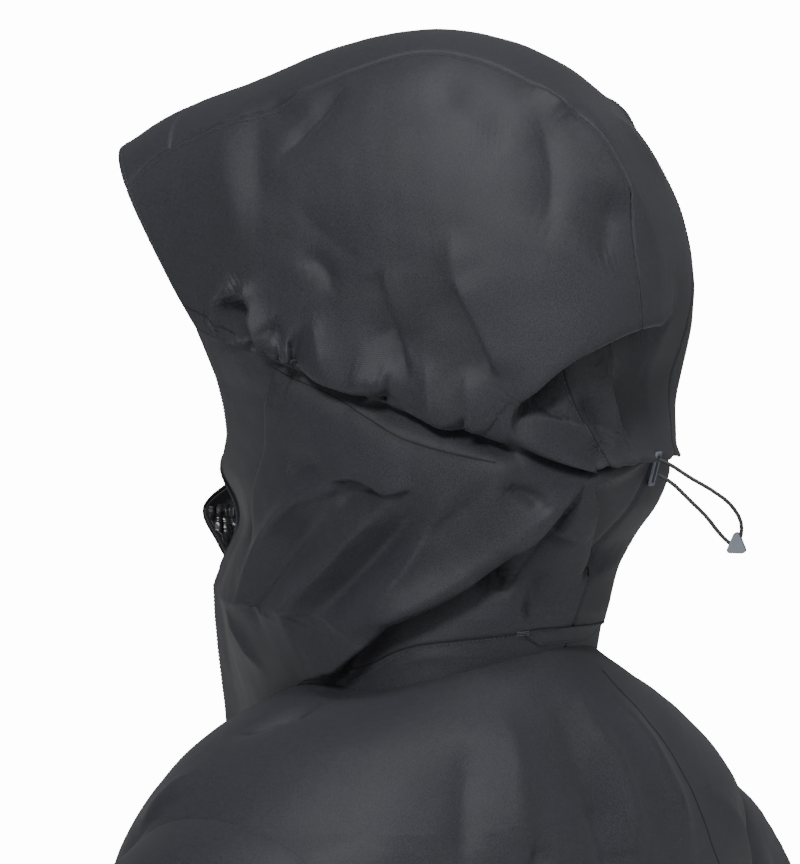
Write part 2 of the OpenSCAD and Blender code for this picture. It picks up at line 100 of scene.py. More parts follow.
def node(tree, kind, **inputs):
    n = tree.nodes.new(kind)
    for key, value in inputs.items():
        n.inputs[key.replace("_", " ")].default_value = value
    return n


def noise(tree, coords, scale, detail=2.0):
    n = node(tree, "ShaderNodeTexNoise", Scale=scale, Detail=detail)
    tree.links.new(coords, n.inputs["Vector"])
    return n.outputs["Fac"]


def ramp(tree, value, low, high, first, last):
    """Map value from low..high to the colours first..last."""
    r = node(tree, "ShaderNodeValToRGB")
    r.color_ramp.elements[0].position = low
    r.color_ramp.elements[1].position = high
    r.color_ramp.elements[0].color = (*first, 1)
    r.color_ramp.elements[1].color = (*last, 1)
    tree.links.new(value, r.inputs["Fac"])
    return r.outputs["Color"]


def mixed(tree, factor, a, b, blend="MIX"):
    m = tree.nodes.new("ShaderNodeMix")
    m.data_type = "RGBA"
    m.blend_type = blend
    for socket, value in ((m.inputs[0], factor), (m.inputs[6], a), (m.inputs[7], b)):
        if hasattr(value, "is_linked"):
            tree.links.new(value, socket)
        elif isinstance(value, tuple):
            socket.default_value = (*value, 1)
        else:
            socket.default_value = value
    return m.outputs[2]


def bump(tree, shader, height, strength, distance, under=None):
    b = node(tree, "ShaderNodeBump", Strength=strength, Distance=distance)
    tree.links.new(height, b.inputs["Height"])
    if under is not None:
        tree.links.new(under, b.inputs["Normal"])
    tree.links.new(b.outputs["Normal"], shader.inputs["Normal"])
    return b.outputs["Normal"]


def woven(name, colour, light, pitch, roughness, sheen, grain=0.5, wear=0.1):
    """Plain-weave cloth: threads over and under along U and V, slubs, flecks, lighter threads on convex
    crests.
    light is the colour of flecks, worn threads and the painted highlight on fold crests, pitch the thread
    spacing in metres."""
    m, tree, shader = new_material(name, colour, roughness)
    uv = node(tree, "ShaderNodeUVMap").outputs["UV"]
    place = node(tree, "ShaderNodeTexCoord").outputs["Object"]
    threads = []
    for direction in ("X", "Y"):
        w = node(tree, "ShaderNodeTexWave", Scale=0.314 / pitch, Distortion=0.35, Detail=1.0)
        w.wave_type = "BANDS"
        w.bands_direction = direction
        tree.links.new(uv, w.inputs["Vector"])
        threads.append(w.outputs["Fac"])
    weave = mixed(tree, 1.0, threads[0], threads[1], "MULTIPLY")
    fine = noise(tree, place, 1500, 3.0)
    cloud = noise(tree, place, 9, 3.0)
    flecks = ramp(tree, noise(tree, place, 2300, 1.0), 0.62, 0.74, grey(0), grey(1))
    tone = ramp(tree, cloud, 0.3, 0.7, shaded(colour, 0.78), shaded(colour, 1.12))
    tint = (1.18 * colour[0], 0.97 * colour[1], 1.12 * colour[2])
    tinted = ramp(tree, noise(tree, place, 21, 2.0), 0.42, 0.62, grey(0), grey(0.7))
    tone = mixed(tree, tinted, tone, tint)
    tone = mixed(tree, ramp(tree, fine, 0.38, 0.62, grey(0), grey(grain)), tone, light)
    tone = mixed(tree, mixed(tree, 1.0, flecks, grey(0.5), "MULTIPLY"), tone, light)
    # Convex crests turn towards the light colour: worn threads on edges and hems, and painted highlight on
    # the crests of folds.
    point = node(tree, "ShaderNodeNewGeometry").outputs["Pointiness"]
    worn_and_lit_crests = ramp(tree, point, 0.51, 0.58, grey(0), grey(wear))
    rim = tree.nodes.new("ShaderNodeAttribute")
    rim.attribute_name = "rim"
    worn_and_lit_crests = mixed(tree, rim.outputs["Fac"], worn_and_lit_crests, grey(0.0))
    tree.links.new(mixed(tree, worn_and_lit_crests, tone, light), shader.inputs["Base Color"])
    rough = ramp(tree, fine, 0.3, 0.7, grey(roughness - 0.06), grey(roughness + 0.06))
    tree.links.new(rough, shader.inputs["Roughness"])
    shader.inputs["Sheen Weight"].default_value = sheen
    shader.inputs["Sheen Roughness"].default_value = 0.5
    shader.inputs["Specular IOR Level"].default_value = 0.36
    under = bump(tree, shader, cloud, 0.12, 0.004)
    under = bump(tree, shader, fine, 0.35, 0.0003, under)
    bump(tree, shader, weave, 0.3, 0.00025, under)
    return m


def moulded(name, colour, roughness, scale=900, metallic=0.0, wear=(0.25, 0.25, 0.26)):
    """Moulded or cast finish: fine texture, uneven gloss, paler worn edges."""
    m, tree, shader = new_material(name, colour, roughness, metallic)
    place = node(tree, "ShaderNodeTexCoord").outputs["Object"]
    fine, cloud = noise(tree, place, scale, 3.0), noise(tree, place, 60, 3.0)
    tone = ramp(tree, cloud, 0.3, 0.7, shaded(colour, 0.85), shaded(colour, 1.1))
    point = node(tree, "ShaderNodeNewGeometry").outputs["Pointiness"]
    edge = ramp(tree, point, 0.53, 0.62, grey(0), grey(0.5))
    tree.links.new(mixed(tree, edge, tone, wear), shader.inputs["Base Color"])
    rough = ramp(tree, cloud, 0.3, 0.7, grey(roughness - 0.07), grey(roughness + 0.07))
    tree.links.new(rough, shader.inputs["Roughness"])
    bump(tree, shader, fine, 0.25, 0.0002)
    return m


def coated(name, colour, roughness):
    """Glossy laminate on zip tape: thin film, crinkled a little, scuffed."""
    m, tree, shader = new_material(name, colour, roughness)
    place = node(tree, "ShaderNodeTexCoord").outputs["Object"]
    crinkle, scuff = noise(tree, place, 220, 4.0), noise(tree, place, 45, 4.0)
    tone = ramp(tree, scuff, 0.35, 0.7, colour, shaded(colour, 2.2))
    tree.links.new(tone, shader.inputs["Base Color"])
    tree.links.new(ramp(tree, scuff, 0.3, 0.7, grey(roughness), grey(0.5)), shader.inputs["Roughness"])
    shader.inputs["Coat Weight"].default_value = 0.6
    shader.inputs["Coat Roughness"].default_value = 0.18
    bump(tree, shader, crinkle, 0.4, 0.001)
    return m


def braided(name, colour, light, pitch):
    """Braided cord cover: two crossing sets of strands."""
    m, tree, shader = new_material(name, colour, 0.6)
    place = node(tree, "ShaderNodeTexCoord").outputs["Object"]
    strands = []
    for turn in (0.8, -0.8):
        spin = node(tree, "ShaderNodeMapping")
        spin.inputs["Rotation"].default_value = (turn, 0.5 * turn, turn)
        tree.links.new(place, spin.inputs["Vector"])
        w = node(tree, "ShaderNodeTexWave", Scale=0.314 / pitch, Distortion=0.5)
        tree.links.new(spin.outputs["Vector"], w.inputs["Vector"])
        strands.append(w.outputs["Fac"])
    braid = mixed(tree, 0.5, strands[0], strands[1])
    tree.links.new(ramp(tree, braid, 0.35, 0.75, colour, light), shader.inputs["Base Color"])
    shader.inputs["Sheen Weight"].default_value = 0.2
    bump(tree, shader, braid, 0.3, 0.0002)
    return m


shell_mat = woven("shell_cloth", (0.0158, 0.0169, 0.0219), (0.0440, 0.0463, 0.0565),
                  pitch=0.00055, roughness=0.51, sheen=0.07, grain=0.62)
lining_mat = woven("lining_cloth", (0.026, 0.026, 0.03), (0.05, 0.05, 0.055),
                   pitch=0.0004, roughness=0.62, sheen=0.1)
thread_mat = woven("sewing_thread", (0.034, 0.034, 0.038), (0.07, 0.07, 0.075),
                   pitch=0.0003, roughness=0.5, sheen=0.2)
# Near black: the zip tapes' own colour, and painted shade on the seam welts, which stand for the shadow in
# the seam groove.
seam_shade_and_tape_mat = woven("seam_shade_and_tape", (0.009, 0.009, 0.0105), (0.02, 0.02, 0.023),
                 pitch=0.0004, roughness=0.6, sheen=0.05, wear=0.0)
zip_mat = coated("zip_laminate", (0.022, 0.022, 0.025), roughness=0.2)
coil_mat = moulded("zip_coil", (0.02, 0.02, 0.022), roughness=0.35, wear=(0.12, 0.12, 0.13))
metal_mat = moulded("slider_metal", (0.03, 0.03, 0.033), roughness=0.34, scale=700, metallic=0.7,
                    wear=(0.3, 0.3, 0.31))
plastic_mat = moulded("dark_moulding", (0.022, 0.022, 0.024), roughness=0.48)
rubber_mat = moulded("strap_rubber", (0.02, 0.02, 0.022), roughness=0.6, scale=500,
                     wear=(0.06, 0.06, 0.065))
grey_mat = moulded("grey_moulding", (0.125, 0.142, 0.178), roughness=0.5, wear=(0.25, 0.27, 0.31))
cord_mat = braided("cord_cover", (0.012, 0.012, 0.0135), (0.026, 0.026, 0.029), pitch=0.0006)


# ---------- meshes ----------
def mesh_object(name, vertices, faces, material, uvs=None, smooth=True):
    data = bpy.data.meshes.new(name)
    data.from_pydata(np.asarray(vertices).tolist(), [], faces)
    if uvs is not None:
        layer = data.uv_layers.new(name="UVMap")
        corner = np.zeros(len(data.loops), int)
        data.loops.foreach_get("vertex_index", corner)
        layer.data.foreach_set("uv", np.asarray(uvs, float)[corner].ravel())
    data.polygons.foreach_set("use_smooth", [smooth] * len(data.polygons))
    data.materials.append(material)
    data.validate()
    o = bpy.data.objects.new(name, data)
    bpy.context.scene.collection.objects.link(o)
    return o


def unit(v):
    return v / np.maximum(np.linalg.norm(v, axis=-1, keepdims=True), 1e-12)


def smooth_line(points, count):
    """A smooth curve through the points, as count places."""
    return spline(np.array(points, float), np.linspace(0, 1, count))


def even_line(line, step):
    """The same line, with points a step apart."""
    run = np.concatenate([[0], np.cumsum(np.linalg.norm(np.diff(line, axis=0), axis=1))])
    at = np.linspace(0, run[-1], max(int(round(run[-1] / step)), 1) + 1)
    return np.stack([np.interp(at, run, line[:, k]) for k in range(3)], -1)


def tube(name, line, radius, material, sides, flat=1.0, normals=None):
    """A tube along a line; flat squeezes it along the normals."""
    run = unit(np.gradient(line, axis=0))
    if normals is None:
        side = unit(np.cross(run, [0.3, 0.17, 0.94]))
        rise = unit(np.cross(side, run))
    else:
        rise = unit(normals - run * (normals * run).sum(-1, keepdims=True))
        side = np.cross(run, rise)
    ang = np.linspace(0, 2 * math.pi, sides, endpoint=False)
    rings = [line + radius * (math.cos(a) * side + flat * math.sin(a) * rise) for a in ang]
    vertices = np.stack(rings, 1).reshape(-1, 3)
    n, faces = len(line), []
    for i in range(n - 1):
        for k in range(sides):
            m = (k + 1) % sides
            faces.append((i * sides + k, (i + 1) * sides + k, (i + 1) * sides + m, i * sides + m))
    faces.append(tuple(range(sides)))
    faces.append(tuple((n - 1) * sides + k for k in reversed(range(sides))))
    return mesh_object(name, vertices, faces, material)


def spline(k, t):
    """Smooth curve through the knots k at t from 0 to 1."""
    n = len(k) - 1
    x = np.clip(np.asarray(t, float), 0, 1) * n
    i = np.minimum(np.floor(x).astype(int), n - 1)
    f = x - i
    if k.ndim > 1:
        f = f[..., None]
    a, b, c, d = k[np.maximum(i - 1, 0)], k[i], k[i + 1], k[np.minimum(i + 2, n)]
    return 0.5 * (2 * b + (c - a) * f + (2 * a - 5 * b + 4 * c - d) * f**2 + (3 * b - a - 3 * c + d) * f**3)


def knots(*rows):
    """Rows of millimetres as an array of metres."""
    return np.array(rows, float) * MM


# ---------- the surfaces of part.scad ----------
BACK_LENGTH, CHEST, LEAN, HOOD_TURN, CROWN, BRIM = 765, 210, 0.05, 16, 370, 206
SIDE = knots((CHEST + 6, 20 - BACK_LENGTH), (CHEST + 4, -640), (CHEST - 2, -520), (CHEST - 3, -400),
             (CHEST, -290), (CHEST + 4, -195), (CHEST + 4, -108), (164, -54), (90, -22))
BACK = knots((128, -BACK_LENGTH), (130, -650), (122, -520), (126, -400), (138, -290),
             (148, -195), (142, -115), (118, -48), (92, 0))
FRONT = knots(*((150 + LEAN * (z + 735), z) for z in (-735, -640, -520, -400, -290, -225, -175, -130, -95)))
ARM_MID, ARM_SPAN, ARM_WIDE = 0.64, 0.145, 36
MID = knots((-BRIM, 300), (-172, 322), (-118, 342), (-55, CROWN - 6), (8, CROWN), (72, CROWN - 23),
            (122, 298), (145, 235), (137, 165), (136, 113))
GATHER = knots((88, -128, 190), (103, -78, 174), (109, -20, 157), (106, 42, 140), (90, 92, 125),
               (58, 122, 114))
FULL = np.array((3, 6, 10, 13, 14, 12, 8, 4, 0)) * MM
LIFT = np.array((10, 6, 3, 0, 0, 0, 0, 0, 0)) * MM
SEAM = np.array((0.62, 0.54, 0.47, 0.43, 0.40, 0.33, 0.24, 0.20, 0.165, 0.165, 0.23, 0.285, 0.32, 0.34))
SHARE, BRIM_END = 0.83, 0.13
FACE = {
    1: knots((5, -186.5, 20), (9, -176, 45), (16, -160, 72), (35, -148, 98), (60, -124, 126),
             (78, -121, 158), (88, -128, 190)),
    -1: knots((5, -186.5, 20), (8, -201, 45), (13, -208, 70), (34, -180, 94), (64, -142, 124),
              (80, -132, 158), (88, -128, 190)),
}
CHIN = np.array((0, 0, 9, 16, 17, 14, 10, 6, 3, 1, 0)) * MM
NAPE = knots((0, 101, 20), (0, 108, 50), (0, 128, 84), (0, 136, 113))
RING_SIDE, RING_FRONT, RING_BACK, SPLIT_Z = 0.100, 0.1865, 0.101, 0.020
ARM = knots((206, -6, -190), (252, -6, -220), (290, -4, -292), (312, -4, -378), (322, -16, -466),
            (328, -40, -552), (332, -66, -640))
ARM_R = np.array((100, 86, 78, 71, 65, 58, 47)) * MM
SLEEVE_BLEND = 0.32
COLLAR_SHARE = 0.3


def turned(p, angle):
    """Points turned about the upright axis through the origin."""
    r = np.radians(angle)
    c, s = np.cos(r), np.sin(r)
    return np.stack([p[..., 0] * c - p[..., 1] * s, p[..., 0] * s + p[..., 1] * c, p[..., 2]], -1)


def chin(q):
    d = np.maximum(spline(CHIN, 2 * q), 0)
    return np.stack([-0.64 * d, 0.77 * d, 0 * d], -1)


def torso_power(t):
    """How square the body's outline is at a height t from the hem 0 to the neck seam 1."""
    return 2.5 - 0.5 * np.clip((t - 0.7) / 0.3, 0, 1)


def torso(a, t):
    """The body: a degrees round it from the wearer's left, over the back at 90, t up."""
    r = np.radians(a)
    c, s = np.cos(r), np.sin(r)
    n = torso_power(t)
    sd = spline(SIDE, t)
    fb = np.where((s >= 0)[..., None], spline(BACK, t), spline(FRONT, t))
    inward = chin(np.arccos(np.clip(-s, -1, 1)) / np.pi) * (np.maximum((t - 0.93) / 0.07, 0) ** 2)[..., None]
    return np.stack([
        sd[..., 0] * np.sign(c) * np.abs(c) ** (2 / n) + np.sign(c) * inward[..., 0],
        fb[..., 0] * np.sign(s) * np.abs(s) ** (2 / n) + inward[..., 1],
        sd[..., 1] * c * c + fb[..., 1] * s * s,
    ], -1)


def edge_angle(t, x):
    """How far round from the front's middle a distance x is."""
    return np.degrees(np.arcsin((x / spline(SIDE, t)[..., 0]) ** (torso_power(t) / 2)))


def arm_half(t):
    """Half the armhole's angle at a height t."""
    k = (t - ARM_MID) / ARM_SPAN
    return ARM_WIDE * np.sqrt(np.clip(1 - k * k, 0, 1))


def crown(w, s):
    """The upper hood before it is turned: w across from -1 to 1, s from the brim 0 over to the nape 1."""
    s = np.clip(s, 0, 1)
    m, edge = spline(MID, s), spline(GATHER, s**1.25)
    a = np.radians(90 * np.minimum(np.abs(w), 1))
    n = 2.3 + 0.7 * (1 - np.minimum(s / 0.35, 1)) ** 2
    c, f = np.clip(np.cos(a), 0, 1) ** (2 / n), np.sin(a) ** (2 / n)
    x = edge[..., 0] * f + spline(FULL, s) * np.sin(2 * a)
    g = 1 - c
    return np.stack([
        np.sign(w) * x,
        m[..., 0] + (edge[..., 1] - m[..., 0]) * g,
        m[..., 1] + (edge[..., 2] - m[..., 1]) * g + spline(LIFT, s) * np.sin(2 * a),
    ], -1)


def hood(w, s):
    return turned(crown(w, s), HOOD_TURN)


def seam_w(s):
    return spline(SEAM, s)


def gather_line(q):
    """The hood's lower edge, from the face 0 round to the middle of the back 1."""
    side = crown(np.ones_like(q), np.minimum(q / SHARE, 1))
    back = crown(1 - np.clip((q - SHARE) / (1 - SHARE), 0, 1), np.ones_like(q))
    return np.where((q < SHARE)[..., None], side, back)


def collar_ring(q):
    a = np.pi * np.clip(q, 0, 1)
    x = RING_SIDE * np.clip(np.sin(a), 0, 1) ** 0.9 + 0.005 * (1 - q)
    y = (RING_BACK - RING_FRONT) / 2 - (RING_BACK + RING_FRONT) / 2 * np.cos(a)
    return np.stack([x, y, np.full_like(x, SPLIT_Z)], -1) + chin(np.clip(q, 0, 1))


def neck(q, v, side):
    """Collar and lower hood in one: q from the front 0 to the back 1, v up from the neck seam."""
    q = np.clip(q, 0, 1)
    low = np.clip(v / COLLAR_SHARE, 0, 1)[..., None]
    seam = torso(270 + edge_angle(np.ones_like(q), 0.005) * (1 - q) + 180 * q, np.ones_like(q))
    collar = seam * (1 - low) + collar_ring(q) * low
    k = np.clip((v - COLLAR_SHARE) / (1 - COLLAR_SHARE), 0, 1)
    up = k[..., None]
    zero, one = np.zeros_like(q), np.ones_like(q)
    p = collar_ring(q) * (1 - up) + gather_line(q) * up + chin(q) * ((1 - up) ** 0.8 - (1 - up))
    p = p + (spline(FACE[side], k) - collar_ring(zero) * (1 - up) - gather_line(zero) * up) * (
        (1 - q) ** 1.6)[..., None]
    p = p + (spline(NAPE, k) - collar_ring(one) * (1 - up) - gather_line(one) * up) * (q**1.6)[..., None]
    mirror = np.array((side, 1, 1))
    return np.where((v < COLLAR_SHARE)[..., None], collar * mirror, turned(p * mirror, HOOD_TURN * k))


def arm_ring(b, s):
    """The sleeve as a tube round the arm's line."""
    c = spline(ARM, s)
    t = unit(spline(ARM, s + 0.004) - spline(ARM, s - 0.004))
    out = unit(np.cross(np.array((0, 1, 0)), -t))
    r = np.radians(b)[..., None]
    return c + spline(ARM_R, s)[..., None] * (np.cos(r) * np.cross(-t, out) + np.sin(r) * out)


def sleeve(b, s, side):
    """A sleeve: b degrees round it, s from the armhole 0 to the cuff 1."""
    r = np.radians(b)
    sn, cs = np.sin(r), np.cos(r)
    start = torso(ARM_WIDE * cs, ARM_MID + ARM_SPAN * sn)
    f = np.minimum(s / SLEEVE_BLEND, 1)[..., None]
    end = arm_ring(b, np.maximum(s, SLEEVE_BLEND))
    run = unit(spline(ARM, np.array(SLEEVE_BLEND + 0.004)) - spline(ARM, np.array(SLEEVE_BLEND)))
    pull = 0.46 * np.linalg.norm(arm_ring(b, np.full_like(s, SLEEVE_BLEND)) - start, axis=-1)[..., None]
    reach = ((62 + 40 * sn) * MM)[..., None]
    out = unit(np.stack([np.ones_like(b), 0.25 * cs, -0.35 - 0.6 * np.maximum(-sn, 0)], -1))
    h0, h1 = 2 * f**3 - 3 * f**2 + 1, f**3 - 2 * f**2 + f
    h2, h3 = 3 * f**2 - 2 * f**3, f**3 - f**2
    p = h0 * start + h1 * reach * out + h2 * end + h3 * run * pull
    return np.where((s >= SLEEVE_BLEND)[..., None], end, p) * np.array((side, 1, 1))


# ---------- folds ----------
OVERHANG = 0.5  # how far a lapped fold slides over its lower side, as a share of its height
LAP_ENTRIES = 6


def stroke(place, points, height, width, crest=2.0, ends=0.40):
    """A ridge along points on the surface, height and width in mm; a minus height is a valley."""
    return fold_line(place, points, ends), "ridge", (height * MM, width * MM, crest * MM)


def lap(place, points, high, low, wide, deep, jump=1.1, ends=0.22):
    """Cloth that laps over itself: high on the left of the way, dropping sharply to low on the right."""
    return fold_line(place, points, ends), "lap", (high * MM, low * MM, wide * MM, deep * MM, jump * MM)


def fold_line(place, points, ends):
    """The fold's way on the surface, its directions, and how it fades in and out over its ends."""
    t = np.linspace(0, 1, 60)
    uv = spline(np.array(points, float), t)
    line = even_line(place(uv[:, 0], uv[:, 1]), 2.5 * MM)
    t = np.linspace(0, 1, len(line))
    fade = np.clip(np.minimum(t, 1 - t) / ends, 0, 1)
    return line, unit(np.gradient(line, axis=0)), fade * fade * (3 - 2 * fade)


def folds(place, rows):
    """Ridges from short rows and laps from rows with LAP_ENTRIES or more."""
    return [(stroke if len(row) < LAP_ENTRIES else lap)(place, *row) for row in rows]


def relief(p, n, strokes):
    """How the folds move the points p, whose outward directions are n."""
    move = np.zeros_like(p)
    for (line, run, fade), kind, sizes in strokes:
        reach = 3.5 * max(sizes[1:])
        low, high = line.min(0) - reach, line.max(0) + reach
        pick = np.nonzero(((p > low) & (p < high)).all(1))[0]
        if not len(pick):
            continue
        gap = p[pick, None, :] - line[None]
        k = (gap**2).sum(-1).argmin(1)
        gap = gap[np.arange(len(pick)), k]
        along = np.clip((gap * run[k]).sum(-1), -1.3 * MM, 1.3 * MM)
        d = np.linalg.norm(gap - run[k] * along[:, None], axis=-1)
        if kind == "ridge":
            height, width, crest = sizes
            shape = height * np.exp(-(np.sqrt(d * d + crest * crest) - crest) / width)
        else:
            top, bottom, wide, deep, jump = sizes
            down = np.cross(run[k], n[pick])
            x = -np.sign((down * gap).sum(-1)) * d
            over = 1 / (1 + np.exp(-np.clip(x / jump, -30, 30)))
            upper, lower = np.exp(-np.maximum(x, 0) / wide), np.exp(-np.maximum(-x, 0) / deep)
            shape = top * over * upper - bottom * (1 - over) * lower
            under = np.exp(-np.maximum(-x, 0) / (3 * jump))
            slide = OVERHANG * (top + bottom) * (over * upper - (1 - over) * under)
            move[pick] += (fade[k] * slide)[:, None] * down
        move[pick] += (fade[k] * shape)[:, None] * n[pick]
    return move


def ripple(p, size, seed):
    """Low smooth unevenness from -1 to 1."""
    rng = np.random.default_rng(seed)
    total = np.zeros(len(p))
    for _ in range(7):
        wave = rng.normal(size=3) / size
        total += np.sin(p @ wave * 2.2 + rng.uniform(0, 6.28))
    return total / 4


def bell(x, width):
    """1 at x = 0, fading out over the width."""
    return np.exp(-((x / width) ** 2))


POCKET_A, POCKET_LOW, POCKET_HIGH = 304, 0.13, 0.36


def calm(p):
    """Near 0 beside the closure and the pocket zips and on the cuffs, which lie flat, 1 elsewhere."""
    front = bell(p[:, 0], 0.016) * np.clip((0.05 - p[:, 2]) / 0.03, 0, 1) * (p[:, 1] < -0.1)
    free = 1 - front
    for side in (1, -1):
        low = torso(np.array(POCKET_A), np.array(POCKET_LOW)) * (side, 1, 1)
        high = torso(np.array(POCKET_A), np.array(POCKET_HIGH)) * (side, 1, 1)
        way = high - low
        k = np.clip((p - low) @ way / (way @ way), 0, 1)
        free = free * (1 - bell(np.linalg.norm(p - low - k[:, None] * way, axis=1), 0.013))
    wrist = np.clip((-0.572 - p[:, 2]) / 0.012, 0, 1) * (np.abs(p[:, 0]) > 0.25)
    return free * (1 - 0.8 * wrist)


SLOPE_STEP = 1e-3


class Skin:
    """A surface with its folds: place gives the plain surface, inside the points it faces away from,
    extra more height in mm, hang how far it sags in mm, uneven its waves in mm, and joins the seams
    where its outward direction is shared with a neighbour."""

    def __init__(self, place, inside, extra=None, hang=None, uneven=0.8, joins=()):
        self.place, self.inside, self.extra, self.hang = place, inside, extra, hang
        self.uneven, self.joins = uneven, joins

    def plain(self, u, v):
        """The points before any fold, and their outward directions."""
        p = self.place(u, v)
        along_u = self.place(u + SLOPE_STEP, v) - self.place(u - SLOPE_STEP, v)
        along_v = self.place(u, v + SLOPE_STEP) - self.place(u, v - SLOPE_STEP)
        n = unit(np.cross(along_u, along_v))
        flip = np.sign(((p - self.inside(p)) * n).sum(-1, keepdims=True))
        n = n * np.where(flip == 0, 1, flip)
        for near, outward in self.joins:
            k = near(u, v)[:, None]
            n = unit(n * (1 - k) + outward(p) * k)
        return p, n

    def at(self, u, v, lift=0.0):
        """The points with their folds, lift metres off the cloth, and their outward directions."""
        u, v = np.broadcast_arrays(np.asarray(u, float), np.asarray(v, float))
        p, n = self.plain(u.ravel(), v.ravel())
        h = MM * (self.uneven * ripple(p, 0.05, 8) + 0.2 * ripple(p, 0.016, 9))
        if self.extra is not None:
            h = h + self.extra(u.ravel(), v.ravel()) * MM
        free = calm(p)
        p = p + relief(p, n, strokes) * free[:, None] + n * (h * free + lift)[:, None]
        if self.hang is not None:
            p = p - self.hang(u.ravel(), v.ravel())[:, None] * np.array((0, 0, MM))
        return p.reshape(*u.shape, 3), n.reshape(*u.shape, 3)


def graded(length, step, first=True, last=True):
    """Steps from 0 to 1 along a length, finer within 3 mm of the sewn edges."""
    fine = np.array((0, 0.7, 1.6, 3.0)) * MM / length
    low = fine if first else np.array([0.0])
    high = 1 - fine[::-1] if last else np.array([1.0])
    middle = np.linspace(low[-1], high[0], max(int(round(length / step)), 2) + 1)
    return np.concatenate([low[:-1], middle, high[1:]])


def mark_rims(data, rim, half):
    """Keep the shading of a panel's cut edges apart from its faces, and keep the crest lightening (wear and
    painted highlight) off them.
    """
    outer, inner = np.zeros(2 * half), np.zeros(2 * half)
    outer[rim] = 1
    inner[rim + half] = 1
    edges = np.zeros(2 * len(data.edges), int)
    data.edges.foreach_get("vertices", edges)
    edges = edges.reshape(-1, 2)
    sharp = (outer[edges].sum(1) == 2) | (inner[edges].sum(1) == 2)
    data.attributes.new("sharp_edge", "BOOLEAN", "EDGE").data.foreach_set("value", sharp)
    data.attributes.new("rim", "FLOAT", "POINT").data.foreach_set("value", outer + inner)


def plain_spread(u, v):
    return u, v


FINE_FROM = 0.78
NO_ROLL, ALL_ROLLED = (0, 0, 0, 0), (1, 1, 1, 1)


def cloth(name, skin, spread, length, width, step, body, roll, ring=False, thick=1.0, material=None,
          lift=0.0, dip=1.3, held="draped", rows=(), fine_end=0):
    """A sewn panel. spread maps (0..1, 0..1) to the skin's own u and v; roll says which of its
    edges (low u, high u, low v, high v) turn down into a seam, by dip mm. thick is in mm too.
    rows are more places along v, and fine_end is how many columns fill u from FINE_FROM to 1."""
    us = np.linspace(0, 1, int(width / step) + 1)[:-1] if ring else graded(width, step, roll[0], roll[1])
    if fine_end:
        us = np.concatenate([us[us < FINE_FROM], np.linspace(FINE_FROM, 1, fine_end)])
    vs = np.unique(np.concatenate([graded(length, step, roll[2], roll[3]), rows]))
    gu, gv = np.meshgrid(us, vs)
    p, _ = skin.at(*spread(gu, gv), lift=lift)
    du = np.roll(p, -1, 1) - np.roll(p, 1, 1) if ring else np.gradient(p, axis=1)
    n = unit(np.cross(du, np.gradient(p, axis=0)))
    flip = np.sign(((p - skin.inside(p)) * n).sum(-1).mean())
    n = n * flip
    sunk = np.zeros_like(gu)
    for on, far in zip(roll, (gu * width, (1 - gu) * width, gv * length, (1 - gv) * length)):
        if on:
            sunk = np.maximum(sunk, np.exp(-((far / (1.3 * MM)) ** 2)))
    outer = p - n * (sunk * dip * MM)[..., None]
    inner = outer - n * thick * MM
    nv, nu = gu.shape
    half = nu * nv
    index = np.arange(half).reshape(nv, nu)
    if ring:
        index = np.concatenate([index, index[:, :1]], 1)
    a, b, c, d = index[:-1, :-1], index[:-1, 1:], index[1:, 1:], index[1:, :-1]
    quads = np.stack([a, b, c, d], -1).reshape(-1, 4)
    if flip < 0:
        quads = quads[:, ::-1]
    faces = quads.tolist() + (quads[:, ::-1] + half).tolist()
    rims = [index[0], index[-1][::-1]]
    if not ring:
        rims += [index[:, -1], index[:, 0][::-1]]
    for rim in rims:
        for i, j in zip(rim[:-1], rim[1:]):
            quad = (j, i, i + half, j + half)
            faces.append(tuple(int(x) for x in (quad if flip > 0 else quad[::-1])))
    uv = np.stack([gu * width, gv * length], -1).reshape(-1, 2)
    vertices = np.concatenate([outer.reshape(-1, 3), inner.reshape(-1, 3)])
    o = mesh_object(name, vertices, faces, material or shell_mat, np.concatenate([uv, uv]))
    mark_rims(o.data, np.concatenate(rims), half)
    if body:
        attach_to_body(o, body)
    if held is None:
        return o
    return o


def attach(o, body):
    """Ride on one body; given the two ends of a bend, stay where it is, with the transform baked in."""
    if isinstance(body, str):
        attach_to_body(o, body)
    else:
        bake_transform(o)
    return o


QUARTERS = (0, 1.571, 3.142, 4.712)


def stitches(name, line, normals, body, pitch=2.6, size=1.9, radius=0.28, material=None):
    """Thread lying along a line on the cloth, one small rounded bar for each stitch."""
    even = even_line(line, pitch * MM)
    near = ((even[:, None] - line[None]) ** 2).sum(-1).argmin(1)
    up = unit(normals[near])
    run = unit(np.gradient(even, axis=0))
    side = np.cross(run, up)
    vertices, faces = [], []
    for i in range(len(even)):
        base = len(vertices)
        for along, r in ((-0.5, 0.35), (-0.3, 1.0), (0.3, 1.0), (0.5, 0.35)):
            c = even[i] + run[i] * along * size * MM
            for a in QUARTERS:
                turn = math.cos(a) * side[i] + 0.8 * math.sin(a) * up[i]
                vertices.append(c + turn * r * radius * MM)
        for low in (base, base + 4, base + 8):
            for j in range(4):
                m = (j + 1) % 4
                faces.append((low + j, low + 4 + j, low + 4 + m, low + m))
        faces.append((base, base + 1, base + 2, base + 3))
        faces.append((base + 15, base + 14, base + 13, base + 12))
    return attach(mesh_object(name, vertices, faces, material or thread_mat), body)


def sewn(name, skin, points, body, lift=0.15, count=160, **more):
    """Stitches along points in the skin's own u and v."""
    uv = smooth_line(points, count)
    p, n = skin.at(uv[:, 0], uv[:, 1], lift * MM)
    return stitches(name, p, n, body, **more)


def welt(name, skin, points, body, radius, lift, count=160):
    """A seam shown by the thin turned edge that stands along it, darker than the shell as a painted shade
    line in the seam.
    """
    uv = smooth_line(points, count)
    p, n = skin.at(uv[:, 0], uv[:, 1], lift * MM)
    return attach(tube(name, p, radius * MM, seam_shade_and_tape_mat, 6, 0.8, n), body)


# ---------- cords, first of all the pieces ----------
CORD_POINTS = 34


